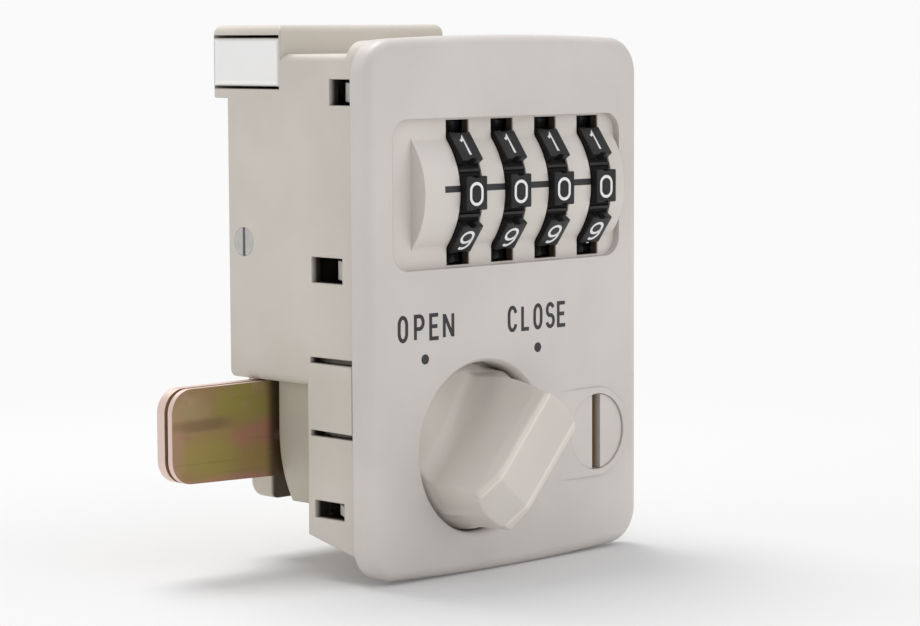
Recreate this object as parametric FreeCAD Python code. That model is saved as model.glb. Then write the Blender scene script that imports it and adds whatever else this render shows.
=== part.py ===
import FreeCAD, Part
import math
import os

# Combination locker lock, the snap-in kind: a front plate outside the door, a moulded housing behind it.
# Millimetres. X to the right seen from outside, Y into the locker, Z up.
# The origin is the middle of the plate's rear rim, which lies against the door.

V = FreeCAD.Vector

# Clearances
PART_GAP = 0.3        # between curved faces of different moving pieces
RUN_GAP = 0.05        # radial, shaft in bore
SLIDE_GAP = 0.15      # each side of a sliding or turning flat piece
SEAT_GAP = 0.02       # radial, a pressed seat within one body

# Front plate
PLATE_W = 57.6
PLATE_H = 80.0
PLATE_T = 4.35
PLATE_CORNER_R = 5.5
PLATE_EDGE_R = 1.7
PLATE_RIM = 1.5
PLATE_FACE_WALL = 1.6
FACE_BULGE_R = 554.0
CROWN_R = 500.0
BULGE_MARGIN = 10.0         # how far the face's bulge is drawn beyond the plate

# Window in the plate and the slotted dial cover behind it
WINDOW_W = 48.14
WINDOW_H = 22.0
WINDOW_RISE = 0.21125       # window's centre above the plate's, as a share of its height
WINDOW_CORNER_R = 3.0
COVER_T = 1.5
COVER_LAP = 2.5
COVER_WING_X = 26.5
COVER_WING_DROP = 8.5
DRUM_R = 12.0
DRUM_AXIS_Y = 6.23
DRUM_WALL = 1.3
DRUM_ROOT_R = 1.2
DRUM_X0 = -19.45
DRUM_X1 = 23.3
SLOT_W = 4.7
CHEEK_T = 1.2
CHEEK_H = 12.0
CHEEK_BACK = 5.0

# Dials
DIAL_COUNT = 4
DIAL_PITCH = 9.32
DIAL_FIRST_X = -9.96
DIAL_AXIS_Y = 4.92
DIAL_R = 11.8
DIAL_GROOVE_R = 10.4
DIAL_RIB_R = 10.85
DIAL_RIB_W = 0.45
DIGITS = 10
PAD_L = 5.0
PAD_BEVEL = 0.25
STEP_W = 1.9
STEP_D = 0.75
SLEEVE_R = 4.0
SLEEVE_GAP = 0.32
AXLE_R = 2.0
RING_R = 9.0
RING_T = 1.8
RING_OFFSET = 0.4
GATE_W = 2.4
GATE_D = 2.6

# Turn knob, its recess and its angle
KNOB_X = -6.34
KNOB_FALL = 0.265625        # knob's axis below the plate's centre, as a share of its height
DISH_R = 12.3
DISH_LIP_R = 1.1
DISH_LIP_LEAD = 0.06
DISH_FLOOR = 4.95
DISH_WALL = 1.2
KNOB_BASE_T = 2.85
KNOB_PROUD = 10.85
BAR_R = 11.95               # the grip's ends where it meets the base
BAR_POINTER_R = 9.3         # its upper end at the front
BAR_TAIL_R = 11.5           # its lower end at the front, before the slope is cut
BAR_W = 8.7
BAR_BEVEL = 1.9
BAR_BEVEL_W = 0.5
BAR_ROOT_W = 10.8
BAR_ROOT_R = 3.0
BAR_SLOPE_START = 6.9
BAR_SLOPE_DROP = 2.5
KNOB_ANGLE = 42.0
SHANK_R = 5.0
SHANK_L = 3.6

# Spindle, lifting cam and bolt plates
SPINDLE_R = 3.5
SPINDLE_FLAT = 2.5
LIFT_CAM_R = 8.0
LIFT_CAM_T = 1.5
LIFT_CAM_LEAD = 12.0
LIFT_RISE = 0.8
TURN_ANGLE = 82.0
BOLT_FRONT_T = 1.0
BOLT_REAR_T = 1.7
BOLT_SPACE = 0.75
BOLT_REACH = 37.8
BOLT_RISE = 9.55            # the arm's top edge above the knob's axis
BOLT_TIP_H = 14.0
BOLT_ROOT_H = 15.1
BOLT_HUB_R = 9.0
BOLT_CORNER_R = 3.6
BOLT_SHOULDER_R = 5.0
WASHER_R = 6.0
WASHER_T = 0.7
CAM_SCREW_R = 4.4
CAM_SCREW_T = 2.6
CAM_SCREW_SHANK_R = 2.0
CAM_SCREW_L = 9.0
SCREW_HEAD_BEVEL = 0.4

# Key plug and its raised ring on the plate
KEY_X = 18.56
KEY_PLUG_R = 5.85
KEY_RING_R = 6.9
KEY_RING_H = 0.05
KEY_PAD_L = 9.0
KEY_TUBE_R = 6.6
KEY_PLUG_L = 16.6
KEY_SLOT_W = 1.8
KEY_SLOT_D = 9.0
KEY_SINK = 0.3
TAIL_L = 8.4
TAIL_W = 5.0
TAIL_T = 1.6
TAIL_HUB_R = 4.0
TAIL_SCREW_R = 2.6
TAIL_SCREW_T = 1.2

# Housing
BODY_W = 54.2
BODY_WALL = 1.8
BODY_BACK = 29.0
BODY_OVER_DIALS = 20.4
BODY_OVER_KNOB = 9.75
BODY_EDGE_R = 1.2
FLANGE_INSET = 0.2
FLANGE_BACK = 2.7
FLANGE_CORNER_R = 3.2
RIM_INSET = 2.0
RIM_CORNER_R = 5.0
COLLAR_FRONT = -0.9
COLLAR_BACK = 11.55
COLLAR_INSET = 3.7
COLLAR_SLOPE = 2.7
TONGUE_OVER_KNOB = 3.35
TONGUE_W = 9.9
TONGUE_FREE_Y = 1.2
TONGUE_ROOT_Y = 10.95
TONGUE_SLIT = 0.9
TONGUE_PROUD = 0.7

# Snap windows, with the plate's hooks in them: low and high edge in Y, then in Z from the plate's top edge,
# the dials' axis or the knob's axis
TOP_SNAP = (1.85, 6.25, -10.1, -6.3)
DIAL_SNAP = (3.75, 10.45, -13.0, -9.2)
KNOB_SNAP = (3.75, 10.15, -9.65, -7.05)
HOOK_T = 1.0
HOOK_SIDE_GAP = 0.1
HOOK_END_GAP = 0.5
HOOK_LAP = 1.2
BARB_L = 2.8
BARB_LAND = 0.6

# Head on the housing's top, with its push block
HEAD_X1 = 7.15
HEAD_FRONT = 16.95
HEAD_BACK = 33.0
HEAD_OVER_DIALS = 13.8
HEAD_H = 10.9
HEAD_EDGE_R = 1.4
BLOCK_FRONT = 17.45
BLOCK_BACK = 32.5
BLOCK_LIFT = 1.8
BLOCK_H = 7.2
BLOCK_L = 12.0
BLOCK_EDGE_R = 0.8
BLOCK_GAP = 0.4
BLOCK_TRAVEL = 3.0
BLOCK_STEM_R = 1.6
BLOCK_STEM_L = 6.0
SPRING_PLATE_T = 0.4

# Inner case under the dials
CORE_W = 48.4
CORE_FRONT = 1.8
CORE_BACK = 21.35
CORE_UNDER_DIALS = 19.9
CORE_UNDER_KNOB = 9.05
CORE_FLANK_R = 24.0
CORE_FLANK_OVER_KNOB = 1.75
CORE_BULGE_R = 6.5
TAIL_POCKET_Y = 15.0

# Rear cover with the guard behind the bolt
REAR_W = 42.6
REAR_T = 2.7
REAR_OVER_DIALS = 11.1
REAR_CORNER_R = 3.0
GUARD_FRONT = 26.1
GUARD_UNDER_KNOB = 9.25
GUARD_STEP = 5.0
GUARD_CORNER_R = 0.8
GUARD_HEEL_R = 2.2
REAR_OPENING_INSET = 3.2
COVER_SCREW_R = 2.4
COVER_SCREW_T = 1.1
COVER_SCREW_SHANK_R = 1.2
COVER_SCREW_L = 7.0
COVER_SCREW_INSET = 3.6
BOSS_R = 2.8
BOSS_L = 5.4

# Locking bar
BAR_PLATE_T = 1.5
SPINE_TOP_GAP = 0.3
SPINE_H = 4.2
TOOTH_W = 1.5
STEM_W = 5.0
NOSE_R = 1.5

# Detent leaf
LEAF_T = 0.6
LEAF_FINGER_W = 4.2
LEAF_NOSE_R = 1.2
LEAF_NOSE_GAP = 0.45
LEAF_DROP = 2.5
LEAF_FOOT = 6.0

# Screw on the housing's left side
SIDE_SCREW_R = 2.13
SIDE_SCREW_Y = 25.65
SIDE_SCREW_DROP = 7.7
SIDE_SCREW_L = 5.0
SIDE_SCREW_SLOT_W = 0.6
SIDE_SCREW_SLOT_D = 0.7

# Places worked out from the sizes above
WINDOW_Z = WINDOW_RISE * PLATE_H
KNOB_Z = -KNOB_FALL * PLATE_H
PLATE_FRONT = -PLATE_T
COVER_FRONT = PLATE_FRONT + PLATE_FACE_WALL
COVER_BACK = COVER_FRONT + COVER_T
DIAL_XS = [DIAL_FIRST_X + DIAL_PITCH * k for k in range(DIAL_COUNT)]
DIAL_W = SLOT_W - 2 * SLIDE_GAP
PAD_CORNER_R = math.hypot(DIAL_R, PAD_L / 2)
BODY_X = BODY_W / 2
INNER_X = BODY_X - BODY_WALL
CORE_X = CORE_W / 2
COVER_X = INNER_X - HOOK_SIDE_GAP - HOOK_T - SLIDE_GAP
BODY_TOP = WINDOW_Z + BODY_OVER_DIALS
BODY_BOTTOM = KNOB_Z + BODY_OVER_KNOB
FLANGE_TOP = PLATE_H / 2 - FLANGE_INSET
RIM_TOP = PLATE_H / 2 - RIM_INSET
COLLAR_BOTTOM_FRONT = COLLAR_INSET - PLATE_H / 2
COLLAR_BOTTOM_BACK = COLLAR_BOTTOM_FRONT + COLLAR_SLOPE
TONGUE_BOTTOM = KNOB_Z + TONGUE_OVER_KNOB
TONGUE_TOP = TONGUE_BOTTOM + TONGUE_W
HEAD_BOTTOM = WINDOW_Z + HEAD_OVER_DIALS
HEAD_TOP = HEAD_BOTTOM + HEAD_H
BLOCK_BOTTOM = HEAD_BOTTOM + BLOCK_LIFT
BLOCK_TOP = BLOCK_BOTTOM + BLOCK_H
CORE_TOP = WINDOW_Z - CORE_UNDER_DIALS
CORE_BOTTOM = KNOB_Z - CORE_UNDER_KNOB
CORE_FLANK_Z = KNOB_Z + CORE_FLANK_OVER_KNOB
REAR_TOP = WINDOW_Z + REAR_OVER_DIALS
GUARD_BOTTOM = KNOB_Z - GUARD_UNDER_KNOB
SIDE_SCREW_Z = WINDOW_Z - SIDE_SCREW_DROP
DISH_BACK = PLATE_FRONT + DISH_FLOOR + DISH_WALL
KNOB_FLOOR = PLATE_FRONT + DISH_FLOOR - PART_GAP
KNOB_BASE_FRONT = KNOB_FLOOR - KNOB_BASE_T
KNOB_FRONT = PLATE_FRONT - KNOB_PROUD
KNOB_BASE_R = DISH_R - PART_GAP
LIFT_CAM_Y = DIAL_AXIS_Y - LIFT_CAM_T / 2
BOLT_Y = CORE_BACK + WASHER_T + PART_GAP
BOLT_MID = BOLT_Y + BOLT_FRONT_T
BOLT_BACK = BOLT_MID + BOLT_SPACE + BOLT_REAR_T
REAR_FRONT = BODY_BACK
REAR_BACK = REAR_FRONT + REAR_T
TAIL_Y = TAIL_POCKET_Y + PART_GAP
POCKET_END_X = -BODY_X + BLOCK_L + BLOCK_STEM_L + BLOCK_TRAVEL + 2 * BLOCK_GAP
SNAP_PLACES = ((TOP_SNAP, PLATE_H / 2), (DIAL_SNAP, WINDOW_Z), (KNOB_SNAP, KNOB_Z))
SNAP_WINDOWS = [(y0, y1, z + low, z + high) for (y0, y1, low, high), z in SNAP_PLACES]


def box(x0, x1, y0, y1, z0, z1):
    return Part.makeBox(x1 - x0, y1 - y0, z1 - z0, V(x0, y0, z0))


def rod_x(radius, x0, x1, y, z):
    return Part.makeCylinder(radius, x1 - x0, V(x0, y, z), V(1, 0, 0))


def rod_y(radius, y0, y1, x, z):
    return Part.makeCylinder(radius, y1 - y0, V(x, y0, z), V(0, 1, 0))


def fuse(shapes):
    return shapes[0].multiFuse(shapes[1:]).removeSplitter()


def prism(points, direction):
    """A flat outline given by its corners, pushed along a direction."""
    return Part.Face(Part.makePolygon(points + points[:1])).extrude(direction)


def edges_along(shape, axis):
    """The straight edges of a shape that run along one axis."""
    picked = []
    for edge in shape.Edges:
        ends = [v.Point for v in edge.Vertexes]
        if len(ends) == 2:
            span = ends[1] - ends[0]
            if span.Length > 0.01 and abs(abs(span.normalize().dot(axis)) - 1) < 1e-6:
                picked.append(edge)
    return picked


def rounded_box(x0, x1, y0, y1, z0, z1, radius, axis):
    """A box whose edges along one axis are rounded."""
    body = box(x0, x1, y0, y1, z0, z1)
    return body.makeFillet(radius, edges_along(body, axis))


def crowned_slab(half_w, top, bottom, corner_r, y0, y1):
    """The plate's outline, its top and bottom edges slightly arched, between two depths."""
    sag = CROWN_R - math.sqrt(CROWN_R ** 2 - half_w ** 2)
    left_top, right_top = V(-half_w, y0, top - sag), V(half_w, y0, top - sag)
    left_low, right_low = V(-half_w, y0, bottom + sag), V(half_w, y0, bottom + sag)
    edges = [
        Part.Arc(left_top, V(0, y0, top), right_top).toShape(),
        Part.LineSegment(right_top, right_low).toShape(),
        Part.Arc(right_low, V(0, y0, bottom), left_low).toShape(),
        Part.LineSegment(left_low, left_top).toShape(),
    ]
    slab = Part.Face(Part.Wire(edges)).extrude(V(0, y1 - y0, 0))
    return slab.makeFillet(corner_r, edges_along(slab, V(0, 1, 0)))


def front_plate():
    """The plate outside the door: a thin shell with the knob's dish, the key plug's tube and six hooks."""
    half_w, half_h = PLATE_W / 2, PLATE_H / 2
    shell = crowned_slab(half_w, half_h, -half_h, PLATE_CORNER_R, PLATE_FRONT, 0)
    bulge = Part.makeCylinder(FACE_BULGE_R, PLATE_H + 2 * BULGE_MARGIN,
                              V(0, PLATE_FRONT + FACE_BULGE_R, -half_h - BULGE_MARGIN))
    shell = shell.common(bulge).Solids[0]
    rim_edges = [e for e in shell.Edges if e.BoundBox.YMax < -PLATE_T / 2]
    shell = shell.makeFillet(PLATE_EDGE_R, rim_edges)
    inside = crowned_slab(half_w - PLATE_RIM, half_h - PLATE_RIM, PLATE_RIM - half_h,
                          PLATE_CORNER_R - PLATE_RIM, COVER_FRONT, 1)
    shell = shell.cut(inside)

    cup = rod_y(DISH_R + DISH_WALL, COVER_FRONT - DISH_WALL / 2, DISH_BACK, KNOB_X, KNOB_Z)
    well = rod_y(DISH_R, PLATE_FRONT - 5, PLATE_FRONT + DISH_FLOOR, KNOB_X, KNOB_Z)
    shell = fuse([shell, cup]).cut(well).cut(dish_flare())

    key_front = PLATE_FRONT - KEY_RING_H
    shell = fuse([
        shell,
        rod_y(KEY_RING_R, key_front, COVER_FRONT, KEY_X, KNOB_Z),
        rod_y(KEY_TUBE_R, COVER_FRONT, CORE_FRONT, KEY_X, KNOB_Z),
        box(KEY_X - KEY_PAD_L, KEY_X, key_front, COVER_FRONT, KNOB_Z - KEY_RING_R, KNOB_Z + KEY_RING_R),
    ])
    window = rounded_box(-WINDOW_W / 2, WINDOW_W / 2, PLATE_FRONT - 5, 0,
                         WINDOW_Z - WINDOW_H / 2, WINDOW_Z + WINDOW_H / 2, WINDOW_CORNER_R, V(0, 1, 0))
    bores = [
        window,
        rod_y(SHANK_R + PART_GAP, PLATE_FRONT, DISH_BACK + 1, KNOB_X, KNOB_Z),
        rod_y(KEY_PLUG_R + RUN_GAP, PLATE_FRONT - 5, CORE_FRONT + 1, KEY_X, KNOB_Z),
    ]
    shell = shell.cut(fuse(bores))
    return fuse([shell] + [hook(w, side) for w in SNAP_WINDOWS for side in (-1, 1)])


def dish_flare():
    """The round lip of the knob's recess. It starts a little ahead of the face, which bends away from it."""
    wide = DISH_R + DISH_LIP_R
    lip_y = PLATE_FRONT + DISH_LIP_R - DISH_LIP_LEAD
    ring = Part.makeTorus(wide, DISH_LIP_R, V(KNOB_X, lip_y, KNOB_Z), V(0, 1, 0))
    return rod_y(wide, PLATE_FRONT - 1, lip_y, KNOB_X, KNOB_Z).cut(ring)


def hook(window, side):
    """One snap hook of the plate, reaching along the housing's inner wall into a window of it."""
    y0, y1, z0, z1 = window
    outer = INNER_X - HOOK_SIDE_GAP
    inner = outer - HOOK_T
    barb_y = y0 + SLIDE_GAP
    outline = [
        V(inner, COVER_FRONT, 0), V(outer, COVER_FRONT, 0), V(outer, barb_y, 0),
        V(outer + HOOK_LAP, barb_y, 0), V(outer + HOOK_LAP, barb_y + BARB_LAND, 0),
        V(outer, barb_y + BARB_L, 0), V(inner, barb_y + BARB_L, 0),
    ]
    low, high = z0 + HOOK_END_GAP, z1 - HOOK_END_GAP
    points = [V(side * p.x, p.y, low) for p in outline]
    return prism(points, V(0, 0, high - low))


def dial_cover():
    """The slotted cover behind the window: a drum over the dials and two cheeks for their axle."""
    lap_z = WINDOW_H / 2 + COVER_LAP
    plate = box(-COVER_X, COVER_X, COVER_FRONT, COVER_BACK, WINDOW_Z - lap_z, WINDOW_Z + lap_z)
    wings = box(-COVER_WING_X, COVER_WING_X, COVER_FRONT, COVER_BACK,
                WINDOW_Z - COVER_WING_DROP, WINDOW_Z + WINDOW_H / 2)
    drum = rod_x(DRUM_R, DRUM_X0, DRUM_X1, DRUM_AXIS_Y, WINDOW_Z)
    drum = drum.common(box(DRUM_X0, DRUM_X1, -20, COVER_BACK, WINDOW_Z - DRUM_R, WINDOW_Z + DRUM_R))
    solid = fuse([plate, wings, drum])
    roots = [e for e in edges_along(solid, V(1, 0, 0)) if abs(e.BoundBox.YMin - COVER_FRONT) < 0.01
             and abs(e.Length - (DRUM_X1 - DRUM_X0)) < 0.01]
    solid = solid.makeFillet(DRUM_ROOT_R, roots)
    cheek_xs = (DRUM_X0 - CHEEK_T, COVER_X - CHEEK_T)
    cheeks = [box(x, x + CHEEK_T, COVER_BACK - 0.5, DIAL_AXIS_Y + CHEEK_BACK,
                  WINDOW_Z - CHEEK_H / 2, WINDOW_Z + CHEEK_H / 2) for x in cheek_xs]
    solid = fuse([solid] + cheeks)
    hollow = rod_x(DRUM_R - DRUM_WALL, DRUM_X0 + DRUM_WALL, DRUM_X1 - DRUM_WALL, DRUM_AXIS_Y, WINDOW_Z)
    reach = PAD_CORNER_R + PART_GAP
    half_slot = math.sqrt(reach ** 2 - (DIAL_AXIS_Y - COVER_BACK) ** 2)
    slots = [box(x - SLOT_W / 2, x + SLOT_W / 2, -20, COVER_BACK + 0.01,
                 WINDOW_Z - half_slot, WINDOW_Z + half_slot) for x in DIAL_XS]
    holes = [rod_x(AXLE_R + SEAT_GAP, x - 1, x + CHEEK_T + 1, DIAL_AXIS_Y, WINDOW_Z) for x in cheek_xs]
    return solid.cut(fuse([hollow] + slots + holes))


def dial_axle():
    return rod_x(AXLE_R, DRUM_X0 - CHEEK_T, COVER_X, DIAL_AXIS_Y, WINDOW_Z)


def axle_bush():
    """The spacer on the axle between the left cheek and the first dial."""
    end = DIAL_XS[0] - (DIAL_PITCH - SLEEVE_GAP) / 2 - SLIDE_GAP
    bush = rod_x(SLEEVE_R, DRUM_X0 + SLIDE_GAP, end, DIAL_AXIS_Y, WINDOW_Z)
    return bush.cut(rod_x(AXLE_R + RUN_GAP, DRUM_X0, end + 1, DIAL_AXIS_Y, WINDOW_Z))


def dial_wheel(x):
    """One number wheel: ten flat pads round a grooved rim, each pad shorter along its left side."""
    x0, x1 = x - DIAL_W / 2, x + DIAL_W / 2
    pad = box(x0, x1, -DIAL_R, -DIAL_GROOVE_R + 2, -PAD_L / 2, PAD_L / 2)
    for end in (-1, 1):
        low, high = sorted((end * PAD_L / 2, end * (PAD_L / 2 - STEP_D)))
        pad = pad.cut(box(x0, x0 + STEP_W, -DIAL_R - 1, -DIAL_GROOVE_R, low, high))
    top_edges = [e for e in pad.Edges if e.BoundBox.YMax < -DIAL_R + 0.01]
    pad = pad.makeChamfer(PAD_BEVEL, top_edges)
    rib = box(x0, x1, -DIAL_RIB_R, -DIAL_GROOVE_R + 1, -DIAL_RIB_W / 2, DIAL_RIB_W / 2)
    pieces = [rod_x(DIAL_GROOVE_R, x0, x1, 0, 0)]
    step = 360.0 / DIGITS
    for n in range(DIGITS):
        for piece, turn in ((pad, n * step), (rib, (n + 0.5) * step)):
            copy = piece.copy()
            copy.rotate(V(0, 0, 0), V(1, 0, 0), turn)
            pieces.append(copy)
    wheel = fuse(pieces).cut(rod_x(SLEEVE_R + SEAT_GAP, x0 - 1, x1 + 1, 0, 0))
    wheel.translate(V(0, DIAL_AXIS_Y, WINDOW_Z))
    return wheel


def code_ring(x):
    """The sleeve inside a wheel, with the gated disc that the locking bar feels."""
    half = (DIAL_PITCH - SLEEVE_GAP) / 2
    disc_x = x - DIAL_W / 2 - RING_OFFSET - RING_T
    ring = fuse([
        rod_x(SLEEVE_R, x - half, x + half, DIAL_AXIS_Y, WINDOW_Z),
        rod_x(RING_R, disc_x, disc_x + RING_T, DIAL_AXIS_Y, WINDOW_Z),
    ])
    gate = box(disc_x - 0.1, disc_x + RING_T + 0.1, DIAL_AXIS_Y - GATE_W / 2, DIAL_AXIS_Y + GATE_W / 2,
               WINDOW_Z - RING_R - 1, WINDOW_Z - RING_R + GATE_D)
    bore = rod_x(AXLE_R + RUN_GAP, x - half - 1, x + half + 1, DIAL_AXIS_Y, WINDOW_Z)
    return ring.cut(gate).cut(bore)


def detent_leaf():
    """The spring leaf behind the dials: a foot under the housing's head and one finger for each wheel."""
    nose_y = DIAL_AXIS_Y + PAD_CORNER_R + LEAF_NOSE_GAP + LEAF_NOSE_R
    back = nose_y + LEAF_T
    x0 = DIAL_XS[0] - LEAF_FINGER_W / 2
    x1 = DIAL_XS[-1] + LEAF_FINGER_W / 2
    pieces = [box(x0, x1, nose_y, nose_y + LEAF_FOOT, HEAD_BOTTOM - LEAF_T, HEAD_BOTTOM)]
    for x in DIAL_XS:
        side = LEAF_FINGER_W / 2
        finger = box(x - side, x + side, nose_y, back, WINDOW_Z - LEAF_DROP, HEAD_BOTTOM - LEAF_T)
        nose = rod_x(LEAF_NOSE_R, x - side, x + side, nose_y, WINDOW_Z)
        nose = nose.common(box(x - side, x + side, nose_y - LEAF_NOSE_R, back, WINDOW_Z - 5, WINDOW_Z + 5))
        pieces += [finger, nose]
    return fuse(pieces)


def knob_bar():
    """The knob's grip: a bar between two scooped flanks, cut from a slightly tapered round."""
    side, root = BAR_W / 2, BAR_ROOT_W / 2
    floor = KNOB_BASE_FRONT
    bevel_y = KNOB_FRONT + BAR_BEVEL
    arc_x = root + BAR_ROOT_R
    arc_y = floor - BAR_ROOT_R
    mid = V(arc_x - BAR_ROOT_R * math.cos(math.pi / 4), arc_y + BAR_ROOT_R * math.sin(math.pi / 4), 0)
    right = [V(side, KNOB_FRONT, 0), V(side + BAR_BEVEL_W, bevel_y, 0), V(root, arc_y, 0)]
    rim = V(arc_x, floor, 0)

    def mirror(p):
        return V(-p.x, p.y, p.z)

    outer = V(KNOB_BASE_R + 1, floor, 0)
    base = V(KNOB_BASE_R + 1, floor + 1, 0)
    edges = [
        Part.LineSegment(mirror(right[0]), right[0]).toShape(),
        Part.LineSegment(right[0], right[1]).toShape(),
        Part.LineSegment(right[1], right[2]).toShape(),
        Part.Arc(right[2], mid, rim).toShape(),
        Part.LineSegment(rim, outer).toShape(),
        Part.LineSegment(outer, base).toShape(),
        Part.LineSegment(base, mirror(base)).toShape(),
        Part.LineSegment(mirror(base), mirror(outer)).toShape(),
        Part.LineSegment(mirror(outer), mirror(rim)).toShape(),
        Part.Arc(mirror(rim), mirror(mid), mirror(right[2])).toShape(),
        Part.LineSegment(mirror(right[2]), mirror(right[1])).toShape(),
        Part.LineSegment(mirror(right[1]), mirror(right[0])).toShape(),
    ]
    reach = KNOB_BASE_R + 2
    section = Part.Face(Part.Wire(edges)).extrude(V(0, 0, 2 * reach))
    section.translate(V(0, 0, -reach))
    length = floor + 1 - KNOB_FRONT
    pointer = Part.makeCone(BAR_R, BAR_POINTER_R, length, V(0, floor + 1, 0), V(0, -1, 0))
    tail = Part.makeCone(BAR_R, BAR_TAIL_R, length, V(0, floor + 1, 0), V(0, -1, 0))
    upper = pointer.common(box(-reach, reach, KNOB_FRONT - 1, floor + 2, 0, reach))
    lower = tail.common(box(-reach, reach, KNOB_FRONT - 1, floor + 2, -reach, 0))
    bar = fuse([section.common(upper), section.common(lower)])
    slope = [V(-reach, KNOB_FRONT, -BAR_SLOPE_START), V(-reach, KNOB_FRONT - 1, -BAR_SLOPE_START),
             V(-reach, KNOB_FRONT - 1, -reach), V(-reach, KNOB_FRONT + BAR_SLOPE_DROP, -BAR_R)]
    return bar.cut(prism(slope, V(2 * reach, 0, 0)))


def knob():
    base = rod_y(KNOB_BASE_R, KNOB_BASE_FRONT, KNOB_FLOOR, 0, 0)
    shank = rod_y(SHANK_R, KNOB_FLOOR, KNOB_FLOOR + SHANK_L, 0, 0)
    body = fuse([base, knob_bar(), shank])
    body = body.cut(spindle_section(KNOB_BASE_FRONT, KNOB_FLOOR + SHANK_L + 1, SEAT_GAP, 0, 0))
    body.rotate(V(0, 0, 0), V(0, 1, 0), KNOB_ANGLE)
    body.translate(V(KNOB_X, 0, KNOB_Z))
    return body


def spindle_section(y0, y1, gap, x, z):
    """The spindle's round section with two flats, which keys the knob, the cam and the bolt plates."""
    flat = SPINDLE_FLAT + gap
    reach = SPINDLE_R + gap
    return rod_y(reach, y0, y1, x, z).common(box(x - flat, x + flat, y0, y1, z - reach, z + reach))


def on_knob_axis(shape):
    """Turn a piece made square to the knob's bar to the bar's angle, about the knob's axis."""
    turned = shape.copy()
    turned.rotate(V(KNOB_X, 0, KNOB_Z), V(0, 1, 0), KNOB_ANGLE)
    return turned


def spindle():
    keyed_front = spindle_section(KNOB_BASE_FRONT + SEAT_GAP, LIFT_CAM_Y + LIFT_CAM_T, 0, KNOB_X, KNOB_Z)
    journal = rod_y(SPINDLE_R, LIFT_CAM_Y + LIFT_CAM_T, BOLT_Y, KNOB_X, KNOB_Z)
    keyed_back = spindle_section(BOLT_Y, BOLT_BACK, 0, KNOB_X, KNOB_Z)
    body = fuse([keyed_front, journal, keyed_back])
    tapped = rod_y(CAM_SCREW_SHANK_R + SEAT_GAP, BOLT_BACK - CAM_SCREW_L, BOLT_BACK + 1, KNOB_X, KNOB_Z)
    return on_knob_axis(body.cut(tapped))


def lift_cam():
    """The snail that raises the locking bar: its radius grows evenly over the knob's turn."""
    points = []
    steps = 12
    for k in range(steps + 1):
        turned = -LIFT_CAM_LEAD + (TURN_ANGLE + 2 * LIFT_CAM_LEAD) * k / steps
        radius = LIFT_CAM_R + LIFT_RISE * turned / TURN_ANGLE
        angle = math.radians(90 - turned)
        points.append(V(radius * math.cos(angle), 0, radius * math.sin(angle)))
    snail = Part.BSplineCurve()
    snail.interpolate(points)
    low_r = points[0].Length - 1
    end, start = points[-1], points[0]
    mid = V(-end.x - start.x, 0, -end.z - start.z).normalize() * low_r
    back = Part.Arc(end.normalize() * low_r, mid, V(start).normalize() * low_r)
    tip, heel = snail.EndPoint, snail.StartPoint
    edges = [
        snail.toShape(),
        Part.LineSegment(tip, back.StartPoint).toShape(),
        back.toShape(),
        Part.LineSegment(back.EndPoint, heel).toShape(),
    ]
    disc = Part.Face(Part.Wire(edges)).extrude(V(0, LIFT_CAM_T, 0))
    disc.translate(V(KNOB_X, LIFT_CAM_Y, KNOB_Z))
    cam_back = LIFT_CAM_Y + LIFT_CAM_T
    return disc.cut(on_knob_axis(spindle_section(LIFT_CAM_Y - 1, cam_back + 1, SEAT_GAP, KNOB_X, KNOB_Z)))


def locking_bar():
    """The comb that rises into the rings' gates, with the stem that rides on the lifting cam."""
    y0, y1 = DIAL_AXIS_Y - BAR_PLATE_T / 2, DIAL_AXIS_Y + BAR_PLATE_T / 2
    spine_top = WINDOW_Z - PAD_CORNER_R - LIFT_RISE - SPINE_TOP_GAP
    spine_low = spine_top - SPINE_H
    tooth_top = WINDOW_Z - RING_R - LIFT_RISE - SPINE_TOP_GAP
    ring_mid = -DIAL_W / 2 - RING_OFFSET - RING_T / 2
    x0 = DIAL_XS[0] + ring_mid - TOOTH_W
    x1 = DIAL_XS[-1] + ring_mid + TOOTH_W
    nose_z = KNOB_Z + LIFT_CAM_R + PART_GAP + NOSE_R
    pieces = [
        box(x0, x1, y0, y1, spine_low, spine_top),
        box(KNOB_X - STEM_W / 2, KNOB_X + STEM_W / 2, y0, y1, nose_z + NOSE_R, spine_low),
        box(KNOB_X - NOSE_R, KNOB_X + NOSE_R, y0, y1, nose_z, nose_z + NOSE_R),
        rod_y(NOSE_R, y0, y1, KNOB_X, nose_z),
    ]
    for x in DIAL_XS:
        mid = x + ring_mid
        pieces.append(box(mid - TOOTH_W / 2, mid + TOOTH_W / 2, y0, y1, spine_top, tooth_top))
    return fuse(pieces)


def bolt_plate(y, thickness):
    """One steel plate of the bolt, keyed to the spindle: a round hub and an arm that points left."""
    tip = -BOLT_REACH
    arm = prism([V(tip, 0, BOLT_RISE), V(tip, 0, BOLT_RISE - BOLT_TIP_H), V(0, 0, BOLT_RISE - BOLT_ROOT_H),
                 V(0, 0, BOLT_RISE)], V(0, thickness, 0))
    ends = edges_along(arm, V(0, 1, 0))
    arm = arm.makeFillet(BOLT_CORNER_R, [e for e in ends if e.BoundBox.XMax < tip + 1])
    shoulder = [e for e in edges_along(arm, V(0, 1, 0))
                if e.BoundBox.XMin > -1 and e.BoundBox.ZMin > BOLT_RISE - 1]
    arm = arm.makeFillet(BOLT_SHOULDER_R, shoulder)
    plate = fuse([arm, rod_y(BOLT_HUB_R, 0, thickness, 0, 0)])
    plate.translate(V(KNOB_X, y, KNOB_Z))
    return plate.cut(on_knob_axis(spindle_section(y - 1, y + thickness + 1, SEAT_GAP, KNOB_X, KNOB_Z)))


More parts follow.
